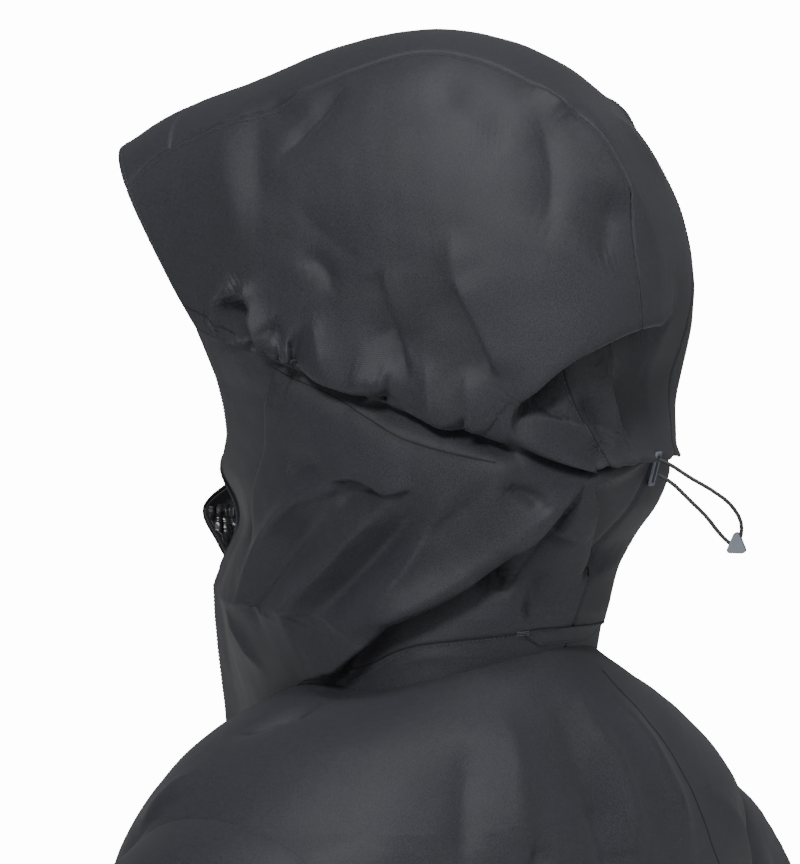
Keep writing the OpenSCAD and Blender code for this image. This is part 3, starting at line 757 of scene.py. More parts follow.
def cord_curve(name, route, diameter, body):
    """A round cord along a route in mm; also its length and its line in metres."""
    data = bpy.data.curves.new(name, "CURVE")
    data.dimensions = "3D"
    data.bevel_depth = diameter / 2
    data.bevel_resolution = 4
    data.use_fill_caps = True
    line = smooth_line(np.array(route) * MM, CORD_POINTS)
    path = data.splines.new("POLY")
    path.points.add(len(line) - 1)
    path.points.foreach_set("co", np.concatenate([line, np.ones((len(line), 1))], 1).ravel())
    path.use_smooth = True
    data.materials.append(cord_mat)
    o = bpy.data.objects.new(name, data)
    bpy.context.scene.collection.objects.link(o)
    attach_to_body(o, body)
    return o, float(np.linalg.norm(np.diff(line, axis=0), axis=1).sum()), line


ADJUSTER_WIDE, PULL_WIDE = 0.0025, 0.0024
ADJUSTER_ROUTE = [
    (-38, 134, 113), (-40, 141, 110), (-44, 152, 103), (-49, 164, 96), (-54, 174, 88), (-57, 180, 78),
    (-57, 180, 68), (-54, 176, 64), (-50, 170, 70), (-47, 162, 80), (-43, 152, 90), (-39, 143, 99),
    (-37, 134, 104)]
PULL_ROUTE = [(0, -194, -4), (-2, -195, -18), (-5, -196, -34), (-9, -196, -50), (-13, -196, -66)]

adjuster, adjuster_length, adjuster_line = cord_curve("adjuster_loop", ADJUSTER_ROUTE, ADJUSTER_WIDE, "hood")
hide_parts("adjuster_cord")
pull, pull_length, pull_line = cord_curve("zip_pull_loop", PULL_ROUTE, PULL_WIDE, "zip_pull")
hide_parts("zip_pull_cord")

# ---------- where the cloth bends ----------
SIDES = ((1, "left"), (-1, "right"))
NECK = ("jacket", "hood", (0, 0, 0), (0, 0, 0.085))
SHOULDER = {
    s: ("jacket", f"{n}_upper_sleeve", (s * 0.2564, -0.006, -0.2524), (s * 0.3068, -0.006, -0.3148))
    for s, n in SIDES}
ELBOW = {
    s: (f"{n}_upper_sleeve", f"{n}_forearm", (s * 0.3165, -0.006, -0.372), (s * 0.3245, -0.030, -0.500))
    for s, n in SIDES}


def head_middle(p):
    return np.broadcast_to(np.array((0, -0.01, 0.17)), p.shape)


def body_middle(p):
    return p * np.array((0, 0, 1)) + np.array((0, -0.02, 0))


# ---------- folds of the whole jacket ----------
# A row of up to five entries is a ridge: way, height, width[, crest, ends]. A longer one is a lap:
# way, high, low, wide, deep, jump[, ends]. Ways are in the surface's own directions, ends are shares
# of the way, and the rest is in mm.
SHARED_HOOD_FOLDS = 11  # the first rows lie on the right side too
HOOD_FOLDS = [
    # the stiff brim's end, and the hollow behind it
    (((.30, .205), (.513, .223), (.693, .245), (.90, .262)), 3, 9, 8),
    (((.34, .255), (.55, .275), (.76, .295)), -4, 9, 7),
    # dents and tucks along the seam over the top
    (((.34, .275), (.46, .30), (.43, .34)), -3, 7, 5),
    (((.62, .305), (.50, .35), (.39, .39)), -5, 6),
    (((.30, .46), (.40, .52), (.44, .60)), -3.5, 10, 8),
    (((.21, .56), (.19, .62)), 4, 6),
    (((.25, .58), (.37, .64), (.56, .69)), -5, 11),
    # dents on the side
    (((.83, .355), (.82, .395), (.85, .43), (.87, .455)), -3.5, 5, 3),
    (((.93, .50), (.887, .552), (.915, .605)), -4, 7, 3),
    (((.80, .50), (.85, .525), (.90, .56), (.94, .60)), 3, 4, 10, 9, 1.8),
    (((.76, .60), (.82, .66), (.88, .72)), 4, 6, 11, 9, 1.8),
    (((.66, .57), (.74, .60), (.83, .64)), 3, 10),
    (((.70, .34), (.78, .42), (.80, .50)), -2.5, 14),
    # gathered end of the side panel near the face
    (((.998, .145), (.96, .17), (.92, .20), (.872, .246)), 5, 4, 2, .25),
    (((.872, .240), (.905, .268), (.95, .29), (.99, .32)), 6, 4, 2, .25),
    (((.91, .222), (.95, .225), (1.0, .225)), -11, 6, 3, .25),
    (((.93, .315), (.955, .335), (.96, .355)), -4, 3),
    # short edges that run up from the gather line
    (((.99, .39), (.965, .375), (.94, .36)), 5, 5, 6, 6, 0.9),
    (((.90, .40), (.94, .43), (.965, .455)), 4, 5),
    (((.955, .48), (.955, .52), (.96, .56)), 4, 4),
    (((.93, .262), (.953, .288), (.98, .295), (.993, .315), (.973, .355), (.985, .385)),
     4, 6, 5, 8, 1.2, .12),
    (((.970, .36), (.975, .405), (.972, .47), (.978, .535), (.993, .556)), 4, 8, 6, 8, 1.2, .12),
    (((.93, .545), (.955, .552), (.985, .560)), 4, 4),
    (((.985, .556), (1.0, .575), (.998, .62), (.99, .655), (.995, .70)), 4, 7, 6, 8, 1.2, .12),
    (((.90, .60), (.945, .625), (.985, .64)), 3, 5),
    (((.955, .61), (.985, .60)), -3, 3),
    (((.95, .685), (.975, .705), (.995, .74), (1.0, .785), (.98, .80)), 4, 8, 6, 9, 1.2, .12),
    (((.89, .66), (.93, .69), (.965, .715)), 3, 6),
    # back of the head
    (((.05, .57), (.16, .66), (.16, .72), (.05, .80)), 4, 11, 6),
    (((.20, .69), (.31, .73), (.44, .75)), -6, 11, 4),
    (((-.02, .61), (-.03, .66), (-.09, .71)), 3, 12, 4),
    # the edge that hangs over the pouch, and the pouch
    (((.985, .80), (.92, .775), (.85, .775), (.67, .795), (.53, .81), (.27, .825), (-.08, .835)),
     11, 21, 18, 20, 2.2),
    (((.44, .84), (.40, .90), (.44, .97)), 7, 8),
    (((.60, .86), (.58, .91), (.62, .97)), -7, 7),
    (((.80, .83), (.76, .90), (.78, .97)), 5, 6),
    (((.28, .86), (.24, .92), (.27, .98)), -5, 8),
]
CHEEK_WAY = ((.24, .97), (.39, .96), (.52, .91), (.66, .91))
NECK_WAY = ((.40, -.02), (.48, .05), (.573, .093), (.693, .167), (.867, .19), (.99, .19))
NECK_FOLDS = {
    1: [
        # the deep fold from the front of the collar up round the back
        (((.40, -.06), (.48, .05), (.61, .20), (.69, .35), (.75, .50), (.78, .68), (.81, .83), (.87, .97)),
         10, 16, 11, 20, 1.8),
        (((.50, .11), (.60, .27), (.68, .42), (.73, .58), (.76, .77), (.80, .93)), 5, 5),
        # long folds that slant up from the front
        (((.37, .24), (.372, .50), (.40, .655), (.43, .71), (.50, .745)), 9, 8, 2),
        (((.40, .14), (.42, .34), (.44, .52), (.48, .70)), -8, 8, 3),
        (((.43, .10), (.485, .28), (.52, .44), (.535, .60), (.56, .80)), 9, 9, 2),
        (((.50, .13), (.555, .36), (.585, .58), (.60, .80)), -9, 9, 3),
        (((.585, .22), (.635, .45), (.635, .64), (.62, .84)), 8, 8, 2),
        (((.43, .735), (.47, .76), (.53, .74), (.57, .78)), 4, 5, 9, 8, 1.6),
        # the back edge of the neck, with the lower hood set back behind it
        (((.99, .46), (.965, .60), (.915, .77), (.865, .92)), 4, 12, 16, 26, 2.0),
        (((.62, .54), (.66, .78), (.67, .90)), -4, 7),
        # dents under the gathered line and on the back
        (((.75, .46), (.79, .51), (.84, .42)), -9, 6),
        (((.75, .61), (.80, .70), (.94, .63)), 7, 6),
        (((.68, .84), (.78, .81)), -8, 6),
        (((.86, .54), (.90, .40), (.88, .28)), -6, 8),
        (((.44, .68), (.53, .76)), -6, 6),
        (((.33, .74), (.41, .79)), -5, 6),
        (((.88, .30), (.93, .36), (.98, .35)), -4, 8),
        # where the front edge turns in towards the face
        (((.245, 1.0), (.24, .92), (.245, .82), (.26, .71), (.29, .60), (.34, .46)), 5, 11, 14, 20, 2.4),
        (((.31, .32), (.33, .16), (.35, .05)), 5, 6),
        # the cloth above each seam stands a little proud of the cloth below it
        (CHEEK_WAY, 0.9, 0.7, 5, 5, 0.9, 0.08),
        (NECK_WAY, 1.2, 0.8, 5, 6, 0.9, 0.08),
        (((.483, .02), (.683, .107), (.803, .06)), 1.2, 3),
    ],
    -1: [
        (((.40, -.05), (.50, .10), (.60, .24), (.70, .42), (.76, .62), (.84, .92)), -11, 10),
        (((.55, .28), (.66, .42), (.73, .60), (.79, .86)), 8, 8),
        (((.38, .45), (.43, .62), (.47, .80)), 7, 7),
        (((.50, .20), (.56, .52), (.60, .80)), 7, 8),
        (((.66, .42), (.66, .64), (.63, .86)), -8, 8),
        (((.25, .98), (.25, .80), (.27, .64), (.33, .48)), 7, 6),
        (((.30, .30), (.36, .44), (.44, .52)), -6, 8),
        (CHEEK_WAY[::-1], 0.9, 0.7, 5, 5, 0.9, 0.08),
        (NECK_WAY[::-1], 1.2, 0.8, 5, 6, 0.9, 0.08),
    ],
}
BODY_FOLDS = [
    # left shoulder, and soft folds across the back
    (((336, .76), (344, .81), (352, .85)), 6, 11),
    (((346, .89), (352, .93), (357, .975)), -9, 8),
    (((326, .70), (338, .765), (353, .82)), -5, 12),
    (((75, .98), (82, .88), (85, .79), (87, .70)), -4, 14),
    (((87.5, .95), (89, .88), (91, .82), (91, .70)), 6, 9),
    (((86, .84), (87, .77), (88, .68)), -7, 8),
    (((70, .76), (76, .75)), -4, 7),
    (((97, .95), (101, .84), (102, .70)), 7, 11),
    (((64, .93), (68, .84), (69, .72)), 5, 13),
    (((54, .90), (57, .82), (57, .72)), -6, 13),
    (((125, .76), (137, .69), (143, .62)), -6, 12),
    (((112, .80), (124, .72), (134, .62)), 5, 13),
    # drape from the armpits down the back
    (((40, .55), (58, .46), (74, .34)), 7, 17),
    (((36, .48), (50, .36), (60, .22)), -7, 16),
    (((142, .56), (126, .45), (112, .30)), 7, 18),
    (((146, .47), (132, .34), (122, .20)), -7, 16),
    (((62, .40), (66, .22), (64, .02)), 7, 20),
    (((86, .36), (88, .18), (85, .0)), -7, 20),
    (((108, .34), (110, .16), (114, .0)), 7, 20),
    (((20, .44), (24, .22), (22, .0)), 8, 18),
    (((160, .44), (157, .22), (160, .0)), 8, 18),
    (((4, .42), (3, .22), (5, .0)), -6, 15),
    (((177, .42), (178, .22), (176, .0)), -6, 15),
    # fronts
    (((322, .55), (304, .47), (290, .38)), 6, 16),
    (((324, .46), (312, .36), (300, .24)), -6, 15),
    (((218, .54), (238, .45), (252, .34)), 6, 16),
    (((214, .46), (226, .34), (236, .22)), -6, 15),
    (((338, .40), (334, .20), (336, .0)), 8, 17),
    (((202, .40), (206, .20), (203, .0)), 8, 17),
    (((316, .30), (318, .14), (316, .0)), -6, 15),
    (((224, .30), (222, .14), (224, .0)), -6, 15),
    (((292, .90), (306, .80), (318, .70)), -5, 13),
    (((248, .90), (234, .80), (222, .70)), -5, 13),
    (((286, .84), (296, .72), (298, .58)), 5, 15),
    (((254, .84), (244, .70), (243, .56)), 5, 15),
]
ARM_FOLDS = [
    (((60, .02), (40, .12), (20, .22)), 5, 13),
    (((120, .02), (140, .13), (158, .22)), 5, 13),
    (((85, .05), (80, .18), (95, .30)), -4, 15),
    (((20, .06), (5, .18), (-20, .30)), -6, 12),
    (((165, .06), (180, .18), (205, .30)), -6, 12),
    (((110, .16), (140, .27), (175, .34)), 5, 12),
    (((130, .50), (180, .525), (230, .51)), 7, 8, 12, 11, 1.8),
    (((120, .46), (175, .485), (235, .47)), 5, 8),
    (((125, .56), (180, .565), (240, .55)), 6, 7, 12, 10, 1.8),
    (((110, .60), (165, .60), (215, .59)), -6, 8),
    (((140, .64), (185, .635), (230, .63)), 5, 8),
    (((20, .52), (60, .54), (90, .53)), -4, 11),
    (((250, .36), (280, .44), (320, .50)), -5, 11),
    (((300, .56), (340, .62), (380, .66)), -4, 10),
    (((60, .66), (110, .72), (170, .75)), 5, 11),
    (((200, .70), (250, .76), (310, .80)), -5, 10),
    (((90, .78), (140, .83), (200, .84)), 5, 6, 12, 10, 1.8),
    (((10, .80), (60, .85), (110, .88)), 5, 9),
    (((220, .86), (280, .89), (350, .90)), -5, 8),
    (((130, .90), (190, .91), (250, .905)), 4, 7),
]


def moved(rows, du=0.0, dv=0.0, mirror=1, scale=1.0):
    """The same folds elsewhere on the surface, with their first two sizes scaled. A mirrored lap is
    walked the other way, which keeps its high side."""
    result = []
    for row in rows:
        way = tuple((mirror * u + du, v + dv) for u, v in row[0])
        if mirror < 0 and len(row) >= LAP_ENTRIES:
            way = way[::-1]
        result.append((way, *(scale * x for x in row[1:3]), *row[3:]))
    return result


def from_axis(rise):
    """Direction away from the wearer's own axis, tilted up by rise."""
    return lambda p: unit(np.stack([p[:, 0], p[:, 1] + 0.03, rise * np.hypot(p[:, 0], p[:, 1] + 0.03)], -1))


def from_side(p):
    return unit(np.stack([np.sign(p[:, 0]), 0 * p[:, 0], 0.3 + 0 * p[:, 0]], -1))


def armhole_far(a, t):
    """Distance outside the armhole, as a share of its size."""
    wide = np.minimum(np.minimum(np.abs(a), np.abs(a - 180)), np.abs(a - 360)) / ARM_WIDE
    return np.hypot(wide, (t - ARM_MID) / ARM_SPAN) - 1


def neck_on(side):
    return lambda q, v: neck(q, v, side)


def sleeve_on(side):
    return lambda b, s: sleeve(b, s, side)


strokes = folds(hood, moved(HOOD_FOLDS, scale=1.15)) + folds(torso, moved(BODY_FOLDS, scale=1.15))
strokes += folds(hood, moved(HOOD_FOLDS[:SHARED_HOOD_FOLDS], dv=0.012, mirror=-1, scale=0.85))
for side in (1, -1):
    strokes += folds(neck_on(side), NECK_FOLDS[side])
    strokes += folds(sleeve_on(side), moved(ARM_FOLDS, 0 if side > 0 else 14))

# Lobes of cloth that hang over the gather line: where each starts, how far it hangs and bulges in mm.
LOBES = {
    1: ((0.25, 4, 3), (0.33, 9, 4), (0.385, 15, 4), (0.565, 14, 4), (0.745, 8, 4), (1.02, 0, 0)),
    -1: ((0.24, 6, 3), (0.33, 12, 5), (0.44, 14, 6), (0.60, 14, 6), (0.76, 6, 5), (1.02, 0, 0)),
}


def lobes(w, s):
    """How far the cloth hangs and bulges, in mm, and how far it is from the gather line."""
    deep, full = np.zeros_like(s), np.zeros_like(s)
    for sign in (1, -1):
        rows = LOBES[sign]
        for (start, hang, bulge), (end, _, _) in zip(rows, rows[1:]):
            x = np.clip((s - start) / (end - start), 0, 1)
            within = (w * sign >= 0) & (x > 0) & (x < 1)
            hump = np.where(within, 0.3 + 0.7 * np.sin(np.pi * x**0.8) ** 0.8, 0)
            deep, full = deep + hang * hump, full + bulge * hump
    side, nape = (1 - np.abs(w)) * 190, (1 - s) * 560
    low = nape < side
    uneven = 0.75 + 0.25 * np.sin(17 * w + 1) * np.sin(7 * w)
    return np.where(low, 4 * uneven, deep), np.where(low, 3.5 * uneven, full), np.minimum(side, nape)


def gather_puff(w, s):
    """The bulge over the gather line, the pinch at it, and the nape drawn in."""
    _, full, far = lobes(w, s)
    pinch = 7 * np.clip((s - 0.2) / 0.08, 0, 1) * bell(far, 5) * (1 - bell(w, 0.47))
    nape = 8 * bell(s - 0.9, 0.05) * bell(w, 0.55)
    return full * bell(far - 7, 7) - pinch - nape


def gather_hang(w, s):
    deep, _, far = lobes(w, s)
    return deep * bell(far - 5, 11) * (1 - bell(far, 3))


def chin_draw(q, v):
    """The left front edge lies further in at the chin."""
    return neck_draw(q, v) - 13 * bell(v - 0.5, 0.13) * bell(q, 0.2)


def neck_draw(q, v):
    """Pinch under the gather line, away from the adjuster."""
    away = np.clip((q - 0.16) / 0.07, 0, 1) * (1 - bell(1 - q, 0.08))
    return -7 * away * bell((1 - v) * 100, 6)


# ---------- hood ----------
hood_skin = Skin(hood, head_middle, gather_puff, gather_hang, 0.6,
                 [(lambda w, s: bell(lobes(w, s)[2], 8), from_axis(0))])


def hood_piece(name, low, high, s0, s1, width, length, step, nodes, roll, fine_end=0):
    """A hood panel between two seams, low and high as functions of s."""
    def spread(u, v):
        s = s0 + (s1 - s0) * v
        return low(s) * (1 - u) + high(s) * u, s
    o = cloth(name, hood_skin, spread, length, width, step, "hood", roll, fine_end=fine_end)
    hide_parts(*nodes)
    return o


hood_piece("hood_brim_cloth", lambda s: -seam_w(s), seam_w, 0.0, BRIM_END, 0.20, 0.075, 0.0022,
           ["hood_brim", "brim_stiffener"], (1, 1, 0, 1))
hood_piece("hood_center_cloth", lambda s: -seam_w(s), seam_w, BRIM_END, 1.0, 0.15, 0.55, 0.0022,
           ["hood_center"], (1, 1, 1, 0))
# The left side is the one the photograph shows, so its mesh is finer.
HOOD_SIDE_STEP = {1: 0.0017, -1: 0.0032}
HOOD_SIDE_END = {1: 34, -1: 0}
NECK_STEP = {1: 0.0019, -1: 0.0030}
for side, label in SIDES:
    hood_piece(f"hood_side_{label}_cloth", lambda s, k=side: k * seam_w(s),
               lambda s, k=side: k * np.ones_like(s), 0.0, 1.0, 0.20, 0.60, HOOD_SIDE_STEP[side],
               [f"hood_side_{label}"], (1, 0, 0, 0), HOOD_SIDE_END[side])

# ---------- lower hood and collar ----------
NECK_DRAW = {1: chin_draw, -1: neck_draw}
NECK_JOINS = [(lambda q, v: bell((1 - v) * 100, 8), from_axis(0)),
              (lambda q, v: bell(v, 0.05 + 0.1 * q), from_axis(0.7))]
neck_skin = {}
for side, label in SIDES:
    neck_skin[side] = Skin(neck_on(side), body_middle, NECK_DRAW[side], joins=NECK_JOINS)
    o = cloth(f"neck_{label}_cloth", neck_skin[side], plain_spread, 0.20, 0.40, NECK_STEP[side], None,
              (0, 1, 0, 0))
    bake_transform(o)
    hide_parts(f"collar_{label}", f"hood_cheek_{label}")

# ---------- body ----------
body_skin = Skin(torso, body_middle, joins=[
    (lambda a, t: bell(1 - t, 0.03), from_axis(0.7)),
    (lambda a, t: bell(armhole_far(a, t), 0.12), from_side)])
ARMHOLE_ROWS = ARM_MID + ARM_SPAN * np.sin(np.radians(np.arange(-90, 91, 5)))


def back_spread(u, t):
    return arm_half(t) * (1 - u) + (180 - arm_half(t)) * u, t


def front_spread(side):
    def spread(u, t):
        a = 270 + edge_angle(t, 0.009)
        a = a * (1 - u) + (360 - arm_half(t)) * u
        return (a if side > 0 else 540 - a), t
    return spread


back = cloth("back_cloth", body_skin, back_spread, 0.80, 0.62, 0.0042, "jacket", (0, 0, 1, 0),
             rows=ARMHOLE_ROWS)
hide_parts("back_panel")
for side, label in SIDES:
    o = cloth(f"front_{label}_cloth", body_skin, front_spread(side), 0.74, 0.33, 0.0045, "jacket",
              (0, 0, 1, 0), rows=ARMHOLE_ROWS)
    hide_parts(f"front_{label}")


# ---------- sleeves ----------
def arm_middle(side):
    def middle(p):
        c = spline(ARM, np.linspace(0, 1, 40)) * np.array((side, 1, 1))
        flat = p.reshape(-1, 3)
        k = ((flat[:, None] - c[None]) ** 2).sum(-1).argmin(1)
        return c[k].reshape(p.shape)
    return middle


def ring_spread(start, end):
    return lambda u, v: (360 * u, start + (end - start) * v)


ARM_LENGTH = 0.56
CUFF_START = 0.92
sleeve_skin = {}
for side, label in SIDES:
    sleeve_skin[side] = Skin(sleeve_on(side), arm_middle(side),
                             joins=[(lambda b, s: bell(s, 0.03), from_side)])
    # name, start and end along the sleeve, body or bend, nodes it replaces, way round it, step, rolled edges
    for name, start, end, body, nodes, round_it, step, roll in (
        ("shoulder", 0.0, 0.46, SHOULDER[side], [], 0.52, 0.0045, NO_ROLL),
        ("elbow", 0.46, CUFF_START, ELBOW[side], [f"sleeve_upper_{label}", f"sleeve_lower_{label}"],
         0.42, 0.0045, (0, 0, 0, 1)),
        ("cuff", CUFF_START, 1.0, f"{label}_forearm", [f"cuff_{label}"], 0.32, 0.0035, (0, 0, 1, 0)),
    ):
        o = cloth(f"{name}_{label}_cloth", sleeve_skin[side], ring_spread(start, end),
                  (end - start) * ARM_LENGTH, round_it, step, None, roll, ring=True)
        attach(o, body)
        if nodes:
            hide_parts(*nodes)

# ---------- seams and stitching ----------
BESIDE_SEAM = 0.022  # from a seam to its stitches, in the surface's own directions
SIDE_WAY = {1: [(4, .004), (2, .16), (2, .32), (3, .47)],
            -1: [(176, .004), (178, .16), (178, .32), (177, .47)]}
RAGLAN_WAY = [(103, .95), (104.5, .88), (106.5, .85), (107.5, .79), (110.5, .71), (122, .63), (138, .57)]


def hood_way(side, points):
    return [(side * w, s) for w, s in points]


def cuff_way(height):
    return [(b, height) for b in range(0, 361, 15)]


for side, label in SIDES:
    skin, arm = neck_skin[side], sleeve_skin[side]
    forearm = f"{label}_forearm"
    welt(f"cheek_seam_{label}", skin, CHEEK_WAY, NECK, 0.45, 0.05)
    neck_way = [(q, max(v, 0.004)) for q, v in (*NECK_WAY[:-1], (1.0, .19))]
    welt(f"neck_seam_{label}", skin, neck_way, "jacket", 0.5, 0.05)
    neck_way = [(q, max(v - BESIDE_SEAM, 0.004)) for q, v in neck_way]
    sewn(f"neck_stitch_{label}", skin, neck_way, "jacket")
    sewn(f"face_stitch_{label}", skin, [(.035, v) for v in (.34, .5, .7, .9, .985)], NECK, count=300)
    sewn(f"collar_stitch_{label}", skin, [(.055, .01), (.055, .16), (.055, .3)], "jacket")
    edge = [(seam_w(s) + BESIDE_SEAM, s) for s in np.linspace(0.01, 0.34, 12)]
    sewn(f"brim_seam_stitch_{label}", hood_skin, hood_way(side, edge), "hood", count=240)
    edge = [(seam_w(s) + BESIDE_SEAM, s) for s in np.linspace(0.34, 0.985, 24)]
    sewn(f"crown_seam_stitch_{label}", hood_skin, hood_way(side, edge), "hood", count=500, radius=0.2)
    edge = [(.66, .815), (.70, .88), (.72, .99)]
    welt(f"pouch_seam_{label}", hood_skin, hood_way(side, edge), "hood", 0.45, 0.05)
    edge = [(.68, .815), (.72, .88), (.74, .98)]
    sewn(f"pouch_stitch_{label}", hood_skin, hood_way(side, edge), "hood")
    edge = [(.973, .01), (.973, .088), (.973, .152), (.987, .19)]
    welt(f"temple_seam_{label}", hood_skin, hood_way(side, edge), "hood", 0.4, 0.05)
    welt(f"side_seam_{label}", body_skin, SIDE_WAY[side], "jacket", 0.55, 0.05, 300)
    sewn(f"side_stitch_{label}", body_skin, [(a + 1.2, t) for a, t in SIDE_WAY[side]], "jacket", count=300)
    edge = [(270 + float(edge_angle(np.array(t), 0.016)), t) for t in np.linspace(0.03, 0.99, 14)]
    edge = edge if side > 0 else [(540 - a, t) for a, t in edge]
    sewn(f"front_stitch_{label}", body_skin, edge, "jacket", count=400)
    for name, height in (("low", 0.937), ("high", 0.943)):
        sewn(f"cuff_stitch_{name}_{label}", arm, cuff_way(height), forearm, count=200)
    welt(f"cuff_seam_{label}", arm, cuff_way(0.921), forearm, 0.5, 0.05)
sewn("brim_stitch", hood_skin, [(w, 0.016) for w in np.linspace(-0.97, 0.97, 15)], "hood", count=400)
welt("raglan_seam", body_skin, RAGLAN_WAY, "jacket", 0.5, 0.05, 260)
hem_left = 270 + float(edge_angle(np.array(0.04), 0.014))
for name, height in (("low", 0.040), ("high", 0.047)):
    edge = [(a, height) for a in np.linspace(hem_left, 900 - hem_left, 60)]
    sewn(f"hem_stitch_{name}", body_skin, edge, "jacket", count=1400)


# ---------- neck tab ----------
def tab_place(x, v):
    """Across the middle of the back: x is the way round from it, left of the wearer plus."""
    q = 1 - np.abs(x)
    return np.where((x >= 0)[..., None], neck(q, v, 1), neck(q, v, -1))


def tab_spread(u, v):
    half = 0.125 - 0.045 * v
    return half * (1 - 2 * u), 0.20 - 0.145 * v


tab_skin = Skin(tab_place, body_middle, uneven=0.3)
o = cloth("neck_tab_cloth", tab_skin, tab_spread, 0.012, 0.07, 0.0015, "jacket", (1, 1, 0, 1), thick=0.9,
          lift=1.7 * MM, dip=0.6, held=None)
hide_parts("neck_tab")
corners = [tab_spread(u, v) for u, v in ((0.04, 0.06), (0.06, 0.86), (0.94, 0.86), (0.96, 0.06))]
for k in range(3):
    sewn(f"tab_stitch_{k}", tab_skin, corners[k:k + 2], "jacket", 1.85, 60, pitch=2.0, size=1.4, radius=0.22)
bright_mat = woven("bar_tack_thread", (0.10, 0.10, 0.11), (0.2, 0.2, 0.21),
                   pitch=0.0003, roughness=0.5, sheen=0.2)
for k in range(3):
    bar = [(0.128, 0.215 - 0.022 * k), (0.105, 0.213 - 0.022 * k)]
    sewn(f"bar_tack_{k}", tab_skin, bar, "jacket", 1.9, 40, pitch=0.9, size=1.0, radius=0.22,
         material=bright_mat)

# ---------- facings, pocket bags, hanger loop and gather cord ----------
hem_angle = 270 + float(edge_angle(np.array(0.02), 0.013))


def hem_spread(u, v):
    return hem_angle + (900 - 2 * hem_angle) * u, 0.004 + 0.038 * v


o = cloth("hem_fold_cloth", body_skin, hem_spread, 0.03, 1.25, 0.006, "jacket", NO_ROLL, thick=0.7,
          material=lining_mat, lift=-2.2 * MM, held="folded")
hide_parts("hem_facing")


def face_place(k, u):
    """Round the opening from the left collar, k 0, over the brim to the right collar, k 1."""
    q, w = 0.09 * u, 1 - 2 * (k - 0.3) / 0.4
    left, right = neck(q, 0.34 + 0.66 * k / 0.3, 1), neck(q, 0.34 + 0.66 * (1 - k) / 0.3, -1)
    return np.where((k < 0.3)[..., None], left, np.where((k < 0.7)[..., None], hood(w, q), right))


def face_draw(k, u):
    return np.where(k < 0.3, chin_draw(0.09 * u, 0.34 + 0.66 * np.minimum(k, 0.3) / 0.3), 0)


face_skin = Skin(face_place, head_middle, face_draw)
o = cloth("face_fold_cloth", face_skin, lambda u, v: (u, 0.02 + 0.98 * v), 0.03, 1.1, 0.004, None,
          NO_ROLL, thick=0.7, material=lining_mat, lift=-2.4 * MM, held="folded")
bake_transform(o)
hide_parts("face_facing")

ZIP_LOW, ZIP_TOP = -0.719, 0.019
ZIP_LENGTH = 0.738


def zip_plane(x, z):
    return np.stack([x, -(0.150 + LEAN * (z + 0.735)), z + 0 * x], -1)


def zip_strip(near, wide):
    """A strip along the main zip, from near the middle to wide further out."""
    return lambda u, v: zip_plane(near + wide * u, ZIP_LOW + (ZIP_TOP - ZIP_LOW) * v)


zip_skin = Skin(zip_strip(-0.012, 0.024), body_middle, uneven=0.3)
o = cloth("inner_placket_cloth", zip_skin, plain_spread, ZIP_LENGTH, 0.024, 0.003, "jacket", ALL_ROLLED,
          thick=0.8, material=lining_mat, lift=-7.7 * MM, dip=0.3, held="hung")
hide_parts("inner_placket")


def bag_spread(side):
    def spread(u, v):
        t = 0.06 + 0.34 * v
        a = (270 + edge_angle(t, 0.034)) * (1 - u) + 322 * u
        return (a if side > 0 else 540 - a), t
    return spread


for side, label in SIDES:
    o = cloth(f"pocket_bag_{label}_cloth", body_skin, bag_spread(side), 0.24, 0.15, 0.006, "jacket",
              NO_ROLL, thick=0.5, material=lining_mat, lift=-3.4 * MM, held="hung")
    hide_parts(f"pocket_bag_{label}")
    line = gather_line(np.linspace(0.1, 0.93, 120))
    inward = unit(line * np.array((1, 1, 0)))
    line = turned((line - 9.5 * MM * inward) * np.array((side, 1, 1)), HOOD_TURN)
    o = attach(tube(f"gather_cord_{label}_braid", line, 1.25 * MM, cord_mat, 10), "hood")
    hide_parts(f"gather_cord_{label}")
BACKWARD = (0.0, 1.0, 0.0)
turn = np.radians(np.linspace(180, 360, 60))
loop = np.stack([0.0295 * np.cos(turn), 0.0855 - 0.0008 * np.sin(turn), -0.016 + 0.0123 * np.sin(turn)], -1)
o = tube("hanger_loop_band", loop, 2.4 * MM, lining_mat, 12, 0.3, np.tile(BACKWARD, (60, 1)))
attach(o, "jacket")
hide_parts("hanger_loop")
for end, k in (("left", -4), ("right", 3)):
    spot = np.array([loop[k] + np.array((x, 0.0009, 0)) for x in np.linspace(-0.002, 0.002, 9)])
    stitches(f"hanger_tack_{end}", spot, np.tile(BACKWARD, (9, 1)), "jacket", 0.8, 1.4, 0.25)


# ---------- zips ----------
TOOTH_PITCH = 0.0029
TOOTH_SIZE = (0.0038, 0.00135, 0.0044)  # across, along and out


def teeth(name, centres, across, along, out):
    """A row of moulded teeth of the main zip: wide at the tape, narrow at the head."""
    shape = ((0, -.5), (.5, -.5), (.68, -.3), (1, -.42), (1, .42), (.68, .3), (.5, .5), (0, .5))
    vertices, faces = [], []
    for c, x, z, y in zip(centres, across, along, out):
        base = len(vertices)
        for depth in (0.5, -0.5):
            vertices += [c + x * TOOTH_SIZE[0] * a + z * TOOTH_SIZE[1] * b + y * TOOTH_SIZE[2] * depth
                         for a, b in shape]
        faces += [(base + k, base + (k + 1) % 8, base + 8 + (k + 1) % 8, base + 8 + k) for k in range(8)]
        faces += [tuple(base + k for k in reversed(range(8))), tuple(base + 8 + k for k in range(8))]
    return attach(mesh_object(name, vertices, faces, coil_mat, smooth=False), "jacket")


SPREAD_FROM = 0.006  # above this height the open end's teeth stand a little apart
LIP_WIDE = 2.6  # degrees round the body
LIP_LOW, LIP_LONG = 0.128, 0.234


def lip_spread(middle, near, far):
    return lambda u, v: (middle + near * (1 - u) + far * u, LIP_LOW + LIP_LONG * v)


